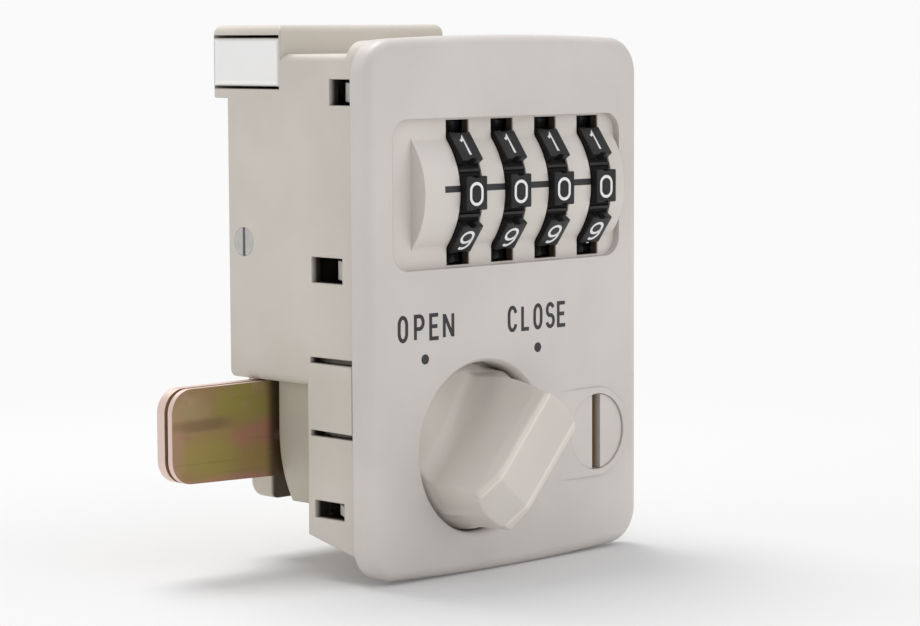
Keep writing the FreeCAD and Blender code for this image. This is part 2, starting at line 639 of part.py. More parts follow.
def round_piece(radius, y0, y1):
    """A round keyed on the spindle: the washer ahead of the bolt or the spacer between its plates."""
    ring = rod_y(radius, y0, y1, KNOB_X, KNOB_Z)
    return ring.cut(rod_y(SPINDLE_R + RUN_GAP, y0 - 1, y1 + 1, KNOB_X, KNOB_Z))


def cam_screw():
    head = rod_y(CAM_SCREW_R, BOLT_BACK, BOLT_BACK + CAM_SCREW_T, KNOB_X, KNOB_Z)
    rim = [e for e in head.Edges if e.BoundBox.YMin > BOLT_BACK + CAM_SCREW_T - 0.01]
    head = head.makeChamfer(SCREW_HEAD_BEVEL, rim)
    shank = rod_y(CAM_SCREW_SHANK_R, BOLT_BACK - CAM_SCREW_L + 1, BOLT_BACK, KNOB_X, KNOB_Z)
    return fuse([head, shank])


def key_plug():
    front = PLATE_FRONT + KEY_SINK - KEY_RING_H
    body = rod_y(KEY_PLUG_R, front, front + KEY_PLUG_L, KEY_X, KNOB_Z)
    slot = box(KEY_X - KEY_SLOT_W / 2, KEY_X + KEY_SLOT_W / 2, front - 1, front + KEY_SLOT_D,
               KNOB_Z - KEY_PLUG_R - 1, KNOB_Z + KEY_PLUG_R + 1)
    end = front + KEY_PLUG_L
    neck = rod_y(TAIL_SCREW_R, end - 1, TAIL_Y + TAIL_T, KEY_X, KNOB_Z)
    return fuse([body.cut(slot), neck])


def key_tail():
    """The lever on the plug's rear end."""
    half = TAIL_W / 2
    lever = fuse([
        rod_y(half, TAIL_Y, TAIL_Y + TAIL_T, KEY_X - TAIL_L + half, KNOB_Z),
        box(KEY_X - TAIL_L + half, KEY_X, TAIL_Y, TAIL_Y + TAIL_T, KNOB_Z - half, KNOB_Z + half),
        rod_y(TAIL_HUB_R, TAIL_Y, TAIL_Y + TAIL_T, KEY_X, KNOB_Z),
    ])
    return lever.cut(rod_y(TAIL_SCREW_R + SEAT_GAP, TAIL_Y - 1, TAIL_Y + TAIL_T + 1, KEY_X, KNOB_Z))


def tail_clip():
    y0 = TAIL_Y + TAIL_T
    return rod_y(TAIL_SCREW_R + 1, y0, y0 + TAIL_SCREW_T, KEY_X, KNOB_Z)


def inner_case():
    """The moulded block under the dials: it carries the spindle, the key plug and the locking bar's stem."""
    left, right = -CORE_X, CORE_X
    drop = CORE_FLANK_Z - CORE_BOTTOM
    foot_x = CORE_FLANK_R - math.sqrt(CORE_FLANK_R ** 2 - drop ** 2)
    half_drop = drop / 2
    mid_x = CORE_FLANK_R - math.sqrt(CORE_FLANK_R ** 2 - half_drop ** 2)
    y = CORE_FRONT

    def flank(side):
        top = V(side * CORE_X, y, CORE_FLANK_Z)
        mid = V(side * (CORE_X - mid_x), y, CORE_FLANK_Z - half_drop)
        foot = V(side * (CORE_X - foot_x), y, CORE_BOTTOM)
        return top, mid, foot

    lt, lm, lf = flank(-1)
    rt, rm, rf = flank(1)
    edges = [
        Part.LineSegment(V(left, y, CORE_TOP), V(right, y, CORE_TOP)).toShape(),
        Part.LineSegment(V(right, y, CORE_TOP), rt).toShape(),
        Part.Arc(rt, rm, rf).toShape(),
        Part.LineSegment(rf, lf).toShape(),
        Part.Arc(lf, lm, lt).toShape(),
        Part.LineSegment(lt, V(left, y, CORE_TOP)).toShape(),
    ]
    block = Part.Face(Part.Wire(edges)).extrude(V(0, CORE_BACK - CORE_FRONT, 0))
    bulge = rod_y(CORE_BULGE_R, CORE_FRONT, CORE_BACK, KEY_X, KNOB_Z)
    bulge = bulge.common(box(0, INNER_X - 0.1, CORE_FRONT, CORE_BACK, KNOB_Z - 20, KNOB_Z + 20))
    block = fuse([block, bulge])

    cam_pocket_r = LIFT_CAM_R + LIFT_RISE + 2 * PART_GAP
    bar_y0 = DIAL_AXIS_Y - BAR_PLATE_T / 2 - SLIDE_GAP
    bar_y1 = DIAL_AXIS_Y + BAR_PLATE_T / 2 + SLIDE_GAP
    stem_half = STEM_W / 2 + SLIDE_GAP
    tail_reach = TAIL_L + PART_GAP
    cuts = [
        rod_y(cam_pocket_r, CORE_FRONT - 1, bar_y1, KNOB_X, KNOB_Z),
        rod_y(SPINDLE_R + RUN_GAP, CORE_FRONT - 1, CORE_BACK + 1, KNOB_X, KNOB_Z),
        box(KNOB_X - stem_half, KNOB_X + stem_half, bar_y0, bar_y1, KNOB_Z, CORE_TOP + 1),
        rod_y(KEY_PLUG_R + RUN_GAP, CORE_FRONT - 1, TAIL_POCKET_Y + 0.5, KEY_X, KNOB_Z),
        box(KEY_X - tail_reach, KEY_X + TAIL_HUB_R + PART_GAP, TAIL_POCKET_Y, CORE_BACK + 1,
            KNOB_Z - TAIL_HUB_R - PART_GAP, KNOB_Z + tail_reach),
    ]
    return block.cut(fuse(cuts))


def housing():
    """The outer case in one moulding: the collar through the door, the dial chamber and the head on its top."""
    body = housing_shell()
    head = box(-BODY_X, HEAD_X1, HEAD_FRONT, HEAD_BACK, HEAD_BOTTOM, HEAD_TOP)
    far = V(HEAD_X1, HEAD_BACK, HEAD_TOP) - V(0.01, 0.01, 0.01)
    rounds = [e for e in head.Edges if e.BoundBox.XMin > far.x or e.BoundBox.YMin > far.y
              or e.BoundBox.ZMin > far.z]
    head = head.makeFillet(HEAD_EDGE_R, rounds)
    body = fuse([body, head] + screw_bosses()).cut(block_pocket())
    windows = []
    for y0, y1, z0, z1 in SNAP_WINDOWS:
        windows.append(box(-BODY_X - 1, -INNER_X + 1, y0, y1, z0, z1))
        windows.append(box(INNER_X - 1, BODY_X + 1, y0, y1, z0, z1))
    body = body.cut(fuse(windows))
    for side in (-1, 1):
        body = sprung_tongue(body, side)
    holes = [rod_y(COVER_SCREW_SHANK_R + SEAT_GAP, BODY_BACK - COVER_SCREW_L, BODY_BACK + 1, x, z)
             for x, z in cover_screw_places()]
    holes.append(rod_x(SIDE_SCREW_R + SEAT_GAP, -BODY_X - 1, -BODY_X + SIDE_SCREW_L + SLIDE_GAP,
                       SIDE_SCREW_Y, SIDE_SCREW_Z))
    return body.cut(fuse(holes))


def housing_shell():
    """The case's walls: open to the front, round the inner case below, and to the rear cover behind."""
    collar = [V(-BODY_X, 0, COLLAR_BOTTOM_FRONT), V(-BODY_X, COLLAR_BACK, COLLAR_BOTTOM_BACK),
              V(-BODY_X, COLLAR_BACK, 0), V(-BODY_X, 0, 0)]
    lower = prism(collar, V(BODY_W, 0, 0))
    upper = rounded_box(-BODY_X, BODY_X, 0, BODY_BACK, BODY_BOTTOM, BODY_TOP, BODY_EDGE_R, V(0, 1, 0))
    flange = crowned_slab(BODY_X, FLANGE_TOP, COLLAR_BOTTOM_FRONT, FLANGE_CORNER_R, 0, FLANGE_BACK)
    rim = crowned_slab(BODY_X, RIM_TOP, COLLAR_BOTTOM_FRONT, RIM_CORNER_R, COLLAR_FRONT, FLANGE_BACK)
    body = fuse([lower, upper, flange, rim])
    inner_back = BODY_BACK - BODY_WALL
    half_open = REAR_W / 2 - REAR_OPENING_INSET
    collar_floor = BODY_WALL / math.cos(math.atan2(COLLAR_BOTTOM_BACK - COLLAR_BOTTOM_FRONT, COLLAR_BACK))
    slope = (COLLAR_BOTTOM_BACK - COLLAR_BOTTOM_FRONT) / COLLAR_BACK
    front_z = COLLAR_BOTTOM_FRONT + slope * (COLLAR_FRONT - 1) + collar_floor
    back_z = COLLAR_BOTTOM_FRONT + slope * (COLLAR_BACK - BODY_WALL) + collar_floor
    inside = [V(-INNER_X, COLLAR_FRONT - 1, front_z), V(-INNER_X, COLLAR_BACK - BODY_WALL, back_z),
              V(-INNER_X, COLLAR_BACK - BODY_WALL, 5), V(-INNER_X, COLLAR_FRONT - 1, 5)]
    case_x = CORE_X + PART_GAP / 2
    bulge = rod_y(CORE_BULGE_R + PART_GAP / 2, 0, CORE_BACK + SLIDE_GAP, KEY_X, KNOB_Z)
    cuts = [
        box(-INNER_X, INNER_X, COLLAR_FRONT - 1, inner_back, BODY_BOTTOM + BODY_WALL, BODY_TOP - BODY_WALL),
        prism(inside, V(2 * INNER_X, 0, 0)),
        box(-case_x, case_x, 0, CORE_BACK + SLIDE_GAP, CORE_BOTTOM - SLIDE_GAP, 0),
        bulge.common(box(0, INNER_X, 0, CORE_BACK + 1, KNOB_Z - 20, KNOB_Z + 20)),
        rod_y(DISH_R + DISH_WALL + SLIDE_GAP, COLLAR_FRONT - 1, DISH_BACK + SLIDE_GAP, KNOB_X, KNOB_Z),
        box(-half_open, half_open, inner_back - 1, BODY_BACK + 1,
            BODY_BOTTOM + BODY_WALL + REAR_OPENING_INSET, REAR_TOP - REAR_OPENING_INSET),
    ]
    return body.cut(fuse(cuts))


def sprung_tongue(body, side):
    """Cut one side wall free round a tongue whose front end stands proud, to hold the door's sheet."""
    x0, x1 = sorted((side * (INNER_X - 1), side * (BODY_X + 2)))
    front = TONGUE_FREE_Y - TONGUE_SLIT
    slits = [
        box(x0, x1, front, TONGUE_ROOT_Y, TONGUE_TOP, TONGUE_TOP + TONGUE_SLIT),
        box(x0, x1, front, TONGUE_ROOT_Y, TONGUE_BOTTOM - TONGUE_SLIT, TONGUE_BOTTOM),
        box(x0, x1, front, TONGUE_FREE_Y, TONGUE_BOTTOM, TONGUE_TOP),
    ]
    inner, proud = side * (BODY_X - BODY_WALL / 2), side * (BODY_X + TONGUE_PROUD)
    wedge = [V(inner, TONGUE_FREE_Y, TONGUE_BOTTOM), V(proud, TONGUE_FREE_Y, TONGUE_BOTTOM),
             V(side * BODY_X, TONGUE_ROOT_Y, TONGUE_BOTTOM), V(inner, TONGUE_ROOT_Y, TONGUE_BOTTOM)]
    return fuse([body.cut(fuse(slits)), prism(wedge, V(0, 0, TONGUE_TOP - TONGUE_BOTTOM))])


def block_pocket():
    """The pocket in the head's left end, where the push block slides."""
    block = box(-BODY_X - 1, -BODY_X + BLOCK_L + BLOCK_TRAVEL + BLOCK_GAP, BLOCK_FRONT - SLIDE_GAP,
                BLOCK_BACK + SLIDE_GAP, BLOCK_BOTTOM - BLOCK_GAP, BLOCK_TOP + BLOCK_GAP)
    mid_y, mid_z = (BLOCK_FRONT + BLOCK_BACK) / 2, (BLOCK_BOTTOM + BLOCK_TOP) / 2
    stem = rod_x(BLOCK_STEM_R + PART_GAP, -BODY_X, POCKET_END_X, mid_y, mid_z)
    return fuse([block, stem])


def push_block():
    mid_y, mid_z = (BLOCK_FRONT + BLOCK_BACK) / 2, (BLOCK_BOTTOM + BLOCK_TOP) / 2
    block = box(-BODY_X, -BODY_X + BLOCK_L, BLOCK_FRONT, BLOCK_BACK, BLOCK_BOTTOM, BLOCK_TOP)
    front = [e for e in block.Edges if e.BoundBox.XMax < -BODY_X + 0.01]
    block = block.makeFillet(BLOCK_EDGE_R, front)
    stem = rod_x(BLOCK_STEM_R, -BODY_X + BLOCK_L, -BODY_X + BLOCK_L + BLOCK_STEM_L, mid_y, mid_z)
    return fuse([block, stem])


def block_spring():
    """The bowed leaf behind the push block, over its stem."""
    mid_y, mid_z = (BLOCK_FRONT + BLOCK_BACK) / 2, (BLOCK_BOTTOM + BLOCK_TOP) / 2
    x0 = -BODY_X + BLOCK_L
    x1 = x0 + BLOCK_TRAVEL + BLOCK_GAP
    half = (BLOCK_BACK - BLOCK_FRONT) / 2 - 1
    rise = x1 - x0 - SPRING_PLATE_T
    inner = Part.Arc(V(x1 - SPRING_PLATE_T, mid_y - half, 0), V(x1 - SPRING_PLATE_T - rise, mid_y, 0),
                     V(x1 - SPRING_PLATE_T, mid_y + half, 0))
    outer = Part.Arc(V(x1, mid_y + half, 0), V(x1 - rise, mid_y, 0), V(x1, mid_y - half, 0))
    edges = [
        inner.toShape(),
        Part.LineSegment(inner.EndPoint, outer.StartPoint).toShape(),
        outer.toShape(),
        Part.LineSegment(outer.EndPoint, inner.StartPoint).toShape(),
    ]
    height = BLOCK_TOP - BLOCK_BOTTOM - 1
    leaf = Part.Face(Part.Wire(edges)).extrude(V(0, 0, height))
    leaf.translate(V(0, 0, mid_z - height / 2))
    return leaf.cut(rod_x(BLOCK_STEM_R + PART_GAP, x0 - 1, x1 + 1, mid_y, mid_z))


def cover_screw_places():
    x = REAR_W / 2 - COVER_SCREW_INSET
    low = BODY_BOTTOM + COVER_SCREW_INSET
    high = REAR_TOP - COVER_SCREW_INSET
    return [(-x, low), (x, low), (-x, high), (x, high)]


def screw_bosses():
    """The bosses inside the housing's rear wall, one for each cover screw."""
    return [rod_y(BOSS_R, BODY_BACK - BODY_WALL - BOSS_L, BODY_BACK, x, z) for x, z in cover_screw_places()]


def rear_cover():
    half = REAR_W / 2
    plate = rounded_box(-half, half, REAR_FRONT, REAR_BACK, GUARD_BOTTOM, REAR_TOP, REAR_CORNER_R, V(0, 1, 0))
    guard = box(-half, half, GUARD_FRONT, REAR_BACK, GUARD_BOTTOM, BODY_BOTTOM - SLIDE_GAP)
    heel = [e for e in edges_along(guard, V(1, 0, 0))
            if e.BoundBox.ZMax < GUARD_BOTTOM + 1 and e.BoundBox.YMin > REAR_BACK - 1]
    guard = guard.makeFillet(GUARD_HEEL_R, heel)
    low = [e for e in edges_along(guard, V(0, 1, 0)) if e.BoundBox.ZMax < GUARD_BOTTOM + 1]
    guard = guard.makeFillet(GUARD_CORNER_R, low)
    plate = plate.cut(box(-half - 1, half + 1, REAR_FRONT - 1, REAR_BACK + 1,
                          GUARD_BOTTOM - 1, BODY_BOTTOM - GUARD_STEP))
    cover = fuse([plate, guard])
    holes = [rod_y(COVER_SCREW_SHANK_R + SEAT_GAP, REAR_FRONT - 1, REAR_BACK + 1, x, z)
             for x, z in cover_screw_places()]
    holes.append(rod_y(CAM_SCREW_R + PART_GAP, GUARD_FRONT - 1, REAR_BACK + 1, KNOB_X, KNOB_Z))
    return cover.cut(fuse(holes))


def cover_screws():
    screws = []
    for x, z in cover_screw_places():
        head = rod_y(COVER_SCREW_R, REAR_BACK, REAR_BACK + COVER_SCREW_T, x, z)
        rim = [e for e in head.Edges if e.BoundBox.YMin > REAR_BACK + COVER_SCREW_T - 0.01]
        head = head.makeChamfer(SCREW_HEAD_BEVEL, rim)
        shank = rod_y(COVER_SCREW_SHANK_R, REAR_FRONT - COVER_SCREW_L + 2, REAR_BACK, x, z)
        screws.append(fuse([head, shank]))
    return Part.makeCompound(screws)


def side_screw():
    body = rod_x(SIDE_SCREW_R, -BODY_X, -BODY_X + SIDE_SCREW_L, SIDE_SCREW_Y, SIDE_SCREW_Z)
    half = SIDE_SCREW_SLOT_W / 2
    slot = box(-BODY_X - 1, -BODY_X + SIDE_SCREW_SLOT_D, SIDE_SCREW_Y - half, SIDE_SCREW_Y + half,
               SIDE_SCREW_Z - 5, SIDE_SCREW_Z + 5)
    return body.cut(slot)


nodes = {
    "front_plate": front_plate(),
    "dial_cover": dial_cover(),
    "housing": housing(),
    "inner_case": inner_case(),
    "rear_cover": rear_cover(),
    "cover_screws": cover_screws(),
    "side_screw": side_screw(),
    "dial_axle": dial_axle(),
    "axle_bush": axle_bush(),
    "detent_leaf": detent_leaf(),
    "knob": knob(),
    "spindle": spindle(),
    "lift_cam": lift_cam(),
    "cam_washer": round_piece(WASHER_R, CORE_BACK + PART_GAP, BOLT_Y),
    "bolt_plate_front": bolt_plate(BOLT_Y, BOLT_FRONT_T),
    "bolt_spacer": round_piece(WASHER_R, BOLT_MID, BOLT_MID + BOLT_SPACE),
    "bolt_plate_rear": bolt_plate(BOLT_MID + BOLT_SPACE, BOLT_REAR_T),
    "cam_screw": cam_screw(),
    "locking_bar": locking_bar(),
    "key_plug": key_plug(),
    "key_tail": key_tail(),
    "tail_clip": tail_clip(),
    "push_block": push_block(),
    "block_spring": block_spring(),
}
for number, dial_x in enumerate(DIAL_XS, start=1):
    nodes["dial_wheel_%d" % number] = dial_wheel(dial_x)
    nodes["code_ring_%d" % number] = code_ring(dial_x)

os.makedirs("parts", exist_ok=True)
for name, shape in nodes.items():
    shape.exportStep("parts/%s.step" % name)
    print(name, "solids", len(shape.Solids), "valid", shape.isValid(), "volume", round(shape.Volume, 1))
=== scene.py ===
import math

import bmesh
import bpy
from mathutils import Matrix, Vector


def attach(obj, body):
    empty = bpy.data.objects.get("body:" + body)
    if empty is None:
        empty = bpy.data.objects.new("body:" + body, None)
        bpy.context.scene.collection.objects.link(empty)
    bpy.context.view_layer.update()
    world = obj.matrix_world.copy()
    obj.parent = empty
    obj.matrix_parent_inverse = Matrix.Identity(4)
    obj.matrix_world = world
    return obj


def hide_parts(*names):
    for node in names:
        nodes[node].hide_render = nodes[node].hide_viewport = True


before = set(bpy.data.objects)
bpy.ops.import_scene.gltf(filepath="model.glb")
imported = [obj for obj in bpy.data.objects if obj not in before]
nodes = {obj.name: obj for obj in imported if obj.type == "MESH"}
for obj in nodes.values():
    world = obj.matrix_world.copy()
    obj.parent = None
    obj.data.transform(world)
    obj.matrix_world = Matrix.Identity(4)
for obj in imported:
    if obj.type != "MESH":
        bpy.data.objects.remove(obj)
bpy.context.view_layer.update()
MM = 0.001


# Front plate: one injection moulding of warm light grey plastic, slightly domed, with a fine satin skin. It
# lies against the door's outer face and is held by hooks in the housing's side windows.
class Wire:
    """One output in a material's node tree. Sums and products of values add Math nodes."""

    def __init__(self, finish, socket):
        self.finish = finish
        self.socket = socket

    def math(self, operation, first, second):
        return self.finish.node("ShaderNodeMath", {"operation": operation}, {0: first, 1: second})

    def __add__(self, other):
        return self.math("ADD", self, other)

    def __radd__(self, other):
        return self.math("ADD", other, self)

    def __sub__(self, other):
        return self.math("SUBTRACT", self, other)

    def __rsub__(self, other):
        return self.math("SUBTRACT", other, self)

    def __mul__(self, other):
        return self.math("MULTIPLY", self, other)

    def __rmul__(self, other):
        return self.math("MULTIPLY", other, self)

    def __truediv__(self, other):
        return self.math("DIVIDE", self, other)

    def __rtruediv__(self, other):
        return self.math("DIVIDE", other, self)

    def __pow__(self, other):
        return self.math("POWER", self, other)

    def __gt__(self, other):
        return self.math("GREATER_THAN", self, other)

    def __lt__(self, other):
        return self.math("LESS_THAN", self, other)


class Finish:
    """A material or world and its nodes: constants on the shader's sockets, patterns through node()."""

    def __init__(self, name, owner=None, **constants):
        self.owner = owner or bpy.data.materials.new(name)
        self.owner.use_nodes = True
        self.tree = self.owner.node_tree
        self.shader = next((n for n in self.tree.nodes if n.type == "BSDF_PRINCIPLED"), None)
        self.out = next(n for n in self.tree.nodes if n.type.startswith("OUTPUT"))
        for key, value in constants.items():
            self.shader.inputs[key.replace("_", " ")].default_value = value
        self.place = self.node("ShaderNodeTexCoord", output="Object")

    def feed(self, socket, value):
        if isinstance(value, Wire):
            self.tree.links.new(value.socket, socket)
        else:
            socket.default_value = value

    def node(self, kind, settings=None, inputs=None, output=0):
        new = self.tree.nodes.new(kind)
        for key, value in (settings or {}).items():
            if key == "stops":
                ramp = new.color_ramp
                while len(ramp.elements) < len(value):
                    ramp.elements.new(1.0)
                for element, (at, colour) in zip(ramp.elements, value):
                    element.position = at
                    element.color = colour
            else:
                setattr(new, key, value)
        for key, value in (inputs or {}).items():
            self.feed(new.inputs[key], value)
        return Wire(self, new.outputs[output])

    def noise(self, scale, detail=2.0, place=None, **more):
        return self.node("ShaderNodeTexNoise", None,
                         {"Vector": place or self.place, "Scale": scale, "Detail": detail, **more})

    def split(self):
        """The place's three coordinates."""
        return [self.node("ShaderNodeSeparateXYZ", None, {0: self.place}, output=axis) for axis in range(3)]

    def soft_edge(self, radius):
        """The normal with the edges rounded by a small radius, as a mould leaves them."""
        return self.node("ShaderNodeBevel", {"samples": 6}, {"Radius": radius})

    def squeeze(self, x, y, z):
        """The place, scaled along each axis, for streaks."""
        return self.node("ShaderNodeVectorMath", {"operation": "MULTIPLY"}, {0: self.place, 1: (x, y, z)})

    def mix(self, factor, first, second):
        return self.node("ShaderNodeMix", {"data_type": "RGBA"}, {0: factor, 6: first, 7: second}, output=2)

    def ease(self, value, low, high):
        """0 below low, 1 above high, with a soft rise between."""
        return self.node("ShaderNodeMapRange", {"interpolation_type": "SMOOTHSTEP"},
                         {"Value": value, "From Min": low, "From Max": high})

    def band(self, value, low, high, soft):
        """1 between low and high and 0 outside them, with soft ends."""
        return self.ease(value, low, low + soft) * (1 - self.ease(value, high - soft, high))

    def set(self, **wires):
        for key, wire in wires.items():
            self.feed(self.shader.inputs[key.replace("_", " ")], wire)

    def bump(self, height, distance, strength=1.0, over=None):
        inputs = {"Height": height, "Distance": distance, "Strength": strength}
        if over is not None:
            inputs["Normal"] = over
        return self.node("ShaderNodeBump", None, inputs)


def rgb(r, g, b):
    """A display colour, 0 to 255, as a linear one."""
    def linear(v):
        v /= 255
        return v / 12.92 if v <= 0.04045 else ((v + 0.055) / 1.055) ** 2.4
    return (linear(r), linear(g), linear(b), 1.0)


SPECK_SCALE = 75.0
GRAIN_HEIGHT = 0.00002


def moulded(name, colour, rough=0.42, speck=0.5, grain=1.0, edge=0.25):
    """Moulded plastic: slow drifts of tone, a fine spark-eroded grain and a few tiny dark inclusions."""
    finish = Finish(name, Specular_IOR_Level=0.45)
    r, g, b, _ = colour
    drift = finish.noise(55, 3)
    pale = (min(1, r * 1.035), min(1, g * 1.03), min(1, b * 1.03), 1)
    deep = (r * 0.955, g * 0.95, b * 0.935, 1)
    tone = finish.mix(finish.ease(drift, 0.3, 0.7), deep, pale)
    cells = {"Vector": finish.place, "Scale": SPECK_SCALE}
    cell = finish.node("ShaderNodeTexVoronoi", None, cells, output="Distance")
    pick = finish.node("ShaderNodeTexVoronoi", None, cells, output="Color")
    chosen = finish.node("ShaderNodeSeparateColor", None, {"Color": pick}) > (1 - 0.16 * speck)
    dot = (cell < 0.022) * chosen * 0.55
    finish.colour = finish.mix(dot, tone, (0.10, 0.085, 0.07, 1))
    finish.set(Base_Color=finish.colour)
    fine = finish.noise(2400, 3)
    worn = finish.noise(140, 4)
    finish.set(Roughness=rough - 0.05 + 0.06 * fine + 0.06 * worn)
    finish.set(Normal=finish.bump(fine, GRAIN_HEIGHT * grain, 0.55, finish.soft_edge(edge * MM)))
    return finish


def dress(piece, finish, smooth=None):
    """Give a piece its material, and smooth shading up to an angle in degrees."""
    if isinstance(piece, str):
        piece = nodes[piece]
    piece.data.materials.clear()
    piece.data.materials.append(finish.owner)
    if smooth:
        piece.data.polygons.foreach_set("use_smooth", [True] * len(piece.data.polygons))
        piece.data.set_sharp_from_angle(angle=math.radians(smooth))


plate_skin = moulded("plate_skin", rgb(204, 199, 195), rough=0.42)
dress("front_plate", plate_skin, smooth=28)


def finished(mesh, name):
    """The bmesh as a mesh with its normals outward."""
    bmesh.ops.recalc_face_normals(mesh, faces=mesh.faces)
    data = bpy.data.meshes.new(name)
    mesh.to_mesh(data)
    mesh.free()
    return data


def skin_object(name, mesh, finish, body):
    """A new piece that rides on a body, with its material."""
    piece = bpy.data.objects.new(name, mesh)
    bpy.context.scene.collection.objects.link(piece)
    piece.data.materials.append(finish.owner)
    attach(piece, body)
    return piece


KNOB_X, KNOB_Z = -6.34 * MM, -21.25 * MM
PLATE_T = 4.35 * MM
DOME_R = 554 * MM
DISH_R, LIP_R = 12.3 * MM, 13.4 * MM
DISH_OPEN_R, LIP_OPEN_R = 12.8 * MM, 13.75 * MM
DISH_BOTTOM_Y = 0.7 * MM
PAD_END_X, PAD_TOP_Y = 9.56 * MM, -4.39 * MM
PAD_STEP = 0.004 * MM


def dome_y(x):
    return -PLATE_T + DOME_R - math.sqrt(DOME_R ** 2 - x ** 2)


def from_knob(co):
    return math.hypot(co.x - KNOB_X, co.z - KNOB_Z)


def move_out(co, radius):
    """Put a point at another distance from the knob's axis."""
    scale = radius / from_knob(co)
    co.x = KNOB_X + (co.x - KNOB_X) * scale
    co.z = KNOB_Z + (co.z - KNOB_Z) * scale


shell = nodes["front_plate"].data.copy()
for vert in shell.vertices:
    reach = from_knob(vert.co)
    if DISH_R - 0.1 * MM < reach < LIP_R + 0.05 * MM and vert.co.y < DISH_BOTTOM_Y:
        share = max(0, (reach - DISH_R) / (LIP_R - DISH_R))
        move_out(vert.co, DISH_OPEN_R + share * (LIP_OPEN_R - DISH_OPEN_R))
    if abs(vert.co.x - PAD_END_X) < 0.02 * MM and vert.co.y < PAD_TOP_Y:
        vert.co.y = dome_y(PAD_END_X) - PAD_STEP
shell.materials.clear()
front = skin_object("front_shell", shell, plate_skin, "lock_case")
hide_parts("front_plate")


# Lettering on the plate: OPEN, CLOSE and a dot under each, pad printed in dark grey ink. The strokes are
# closed slabs of ink that follow the plate's dome and stand a hair above it.
INK_PROUD = 0.02 * MM
INK_DEEP = 0.03 * MM


def arc(cx, cy, rx, ry, start, end, steps=10):
    """Points on an ellipse's arc, angles in degrees."""
    return [(cx + rx * math.cos(math.radians(start + (end - start) * k / steps)),
             cy + ry * math.sin(math.radians(start + (end - start) * k / steps))) for k in range(steps + 1)]


# Each glyph is drawn as the middle line of its strokes in a box 1 wide and 1 high; True closes a stroke.
ROUND = (arc(0.5, 0.66, 0.5, 0.34, 0, 180, 16)[:-1] + arc(0.5, 0.34, 0.5, 0.34, 180, 360, 16)[:-1], True)
GLYPHS = {
    "0": [ROUND],
    "O": [ROUND],
    "1": [([(0.12, 0.80), (0.42, 0.88), (0.56, 1.0), (0.56, 0.0)], False)],
    "2": [(arc(0.5, 0.70, 0.48, 0.30, 165, -40, 14) + [(0.0, 0.0), (1.0, 0.0)], False)],
    "3": [(arc(0.48, 0.74, 0.44, 0.26, 160, -90, 12) + arc(0.48, 0.25, 0.52, 0.25, 90, -160, 14)[1:], False)],
    "4": [([(0.68, 1.0), (0.0, 0.28), (1.0, 0.28)], False), ([(0.72, 0.70), (0.72, 0.0)], False)],
    "5": [([(0.92, 1.0), (0.14, 1.0), (0.08, 0.56)] + arc(0.48, 0.32, 0.50, 0.32, 115, -155, 14), False)],
    "6": [(arc(0.55, 0.60, 0.52, 0.40, 60, 180, 10) + arc(0.5, 0.32, 0.47, 0.32, 180, 520, 20), False)],
    "7": [([(0.0, 1.0), (1.0, 1.0), (0.42, 0.0)], False)],
    "8": [(arc(0.5, 0.76, 0.42, 0.24, 0, 360, 18)[:-1], True),
          (arc(0.5, 0.26, 0.5, 0.26, 0, 360, 18)[:-1], True)],
    "9": [(arc(0.45, 0.40, 0.52, 0.40, 240, 360, 10) + arc(0.5, 0.68, 0.47, 0.32, 0, 340, 20), False)],
    "P": [([(0.0, 0.0), (0.0, 1.0)] + arc(0.55, 0.73, 0.45, 0.27, 90, -90, 12) + [(0.0, 0.46)], False)],
    "E": [([(0.95, 1.0), (0.0, 1.0), (0.0, 0.0), (1.0, 0.0)], False),
          ([(0.0, 0.52), (0.85, 0.52)], False)],
    "N": [([(0.0, 0.0), (0.0, 1.0)], False), ([(0.03, 0.97), (0.97, 0.03)], False),
          ([(1.0, 0.0), (1.0, 1.0)], False)],
    "C": [(arc(0.5, 0.68, 0.5, 0.32, 12, 180, 12) + arc(0.5, 0.32, 0.5, 0.32, 180, 348, 12), False)],
    "L": [([(0.0, 1.0), (0.0, 0.0), (0.95, 0.0)], False)],
    "S": [(arc(0.5, 0.745, 0.46, 0.255, 20, 250, 12) + arc(0.5, 0.255, 0.5, 0.255, 70, -165, 12), False)],
}


def ribbon(mesh, points, closed, width, place):
    """One stroke as a closed slab: place(x, y, lift) puts its flat points in the model."""
    count = len(points)
    flat = [Vector(p) for p in points]
    sides = []
    for k in range(count):
        before = flat[k - 1] if k or closed else flat[k]
        after = flat[(k + 1) % count] if k + 1 < count or closed else flat[k]
        run_in = (flat[k] - before).normalized()
        run_out = (after - flat[k]).normalized()
        along = (run_in + run_out).normalized() if (run_in + run_out).length > 1e-6 else run_out
        stretch = 1 / max(0.45, along.dot(run_out if run_out.length else run_in))
        across = Vector((-along.y, along.x)) * (width / 2 * stretch)
        sides.append((flat[k] + across, flat[k] - across))
    rings = [[mesh.verts.new(place(p.x, p.y, lift)) for p, lift in
              ((left, 1), (right, 1), (right, 0), (left, 0))] for left, right in sides]
    last = count if closed else count - 1
    for k in range(last):
        a, b = rings[k], rings[(k + 1) % count]
        for n in range(4):
            m = (n + 1) % 4
            mesh.faces.new((a[n], b[n], b[m], a[m]))
    if not closed:
        mesh.faces.new(rings[0])
        mesh.faces.new(rings[-1][::-1])


def glyph_strokes(mesh, glyph, left, foot, width, height, stroke, place):
    """A glyph's strokes inside a box given by its outer edges."""
    half = stroke / 2
    for points, closed in GLYPHS[glyph]:
        scaled = [(left + half + px * (width - stroke), foot + half + pz * (height - stroke))
                  for px, pz in points]
        ribbon(mesh, scaled, closed, stroke, place)


def on_plate(x, z, lift):
    return Vector((x, dome_y(x) + INK_DEEP - lift * (INK_DEEP + INK_PROUD), z))


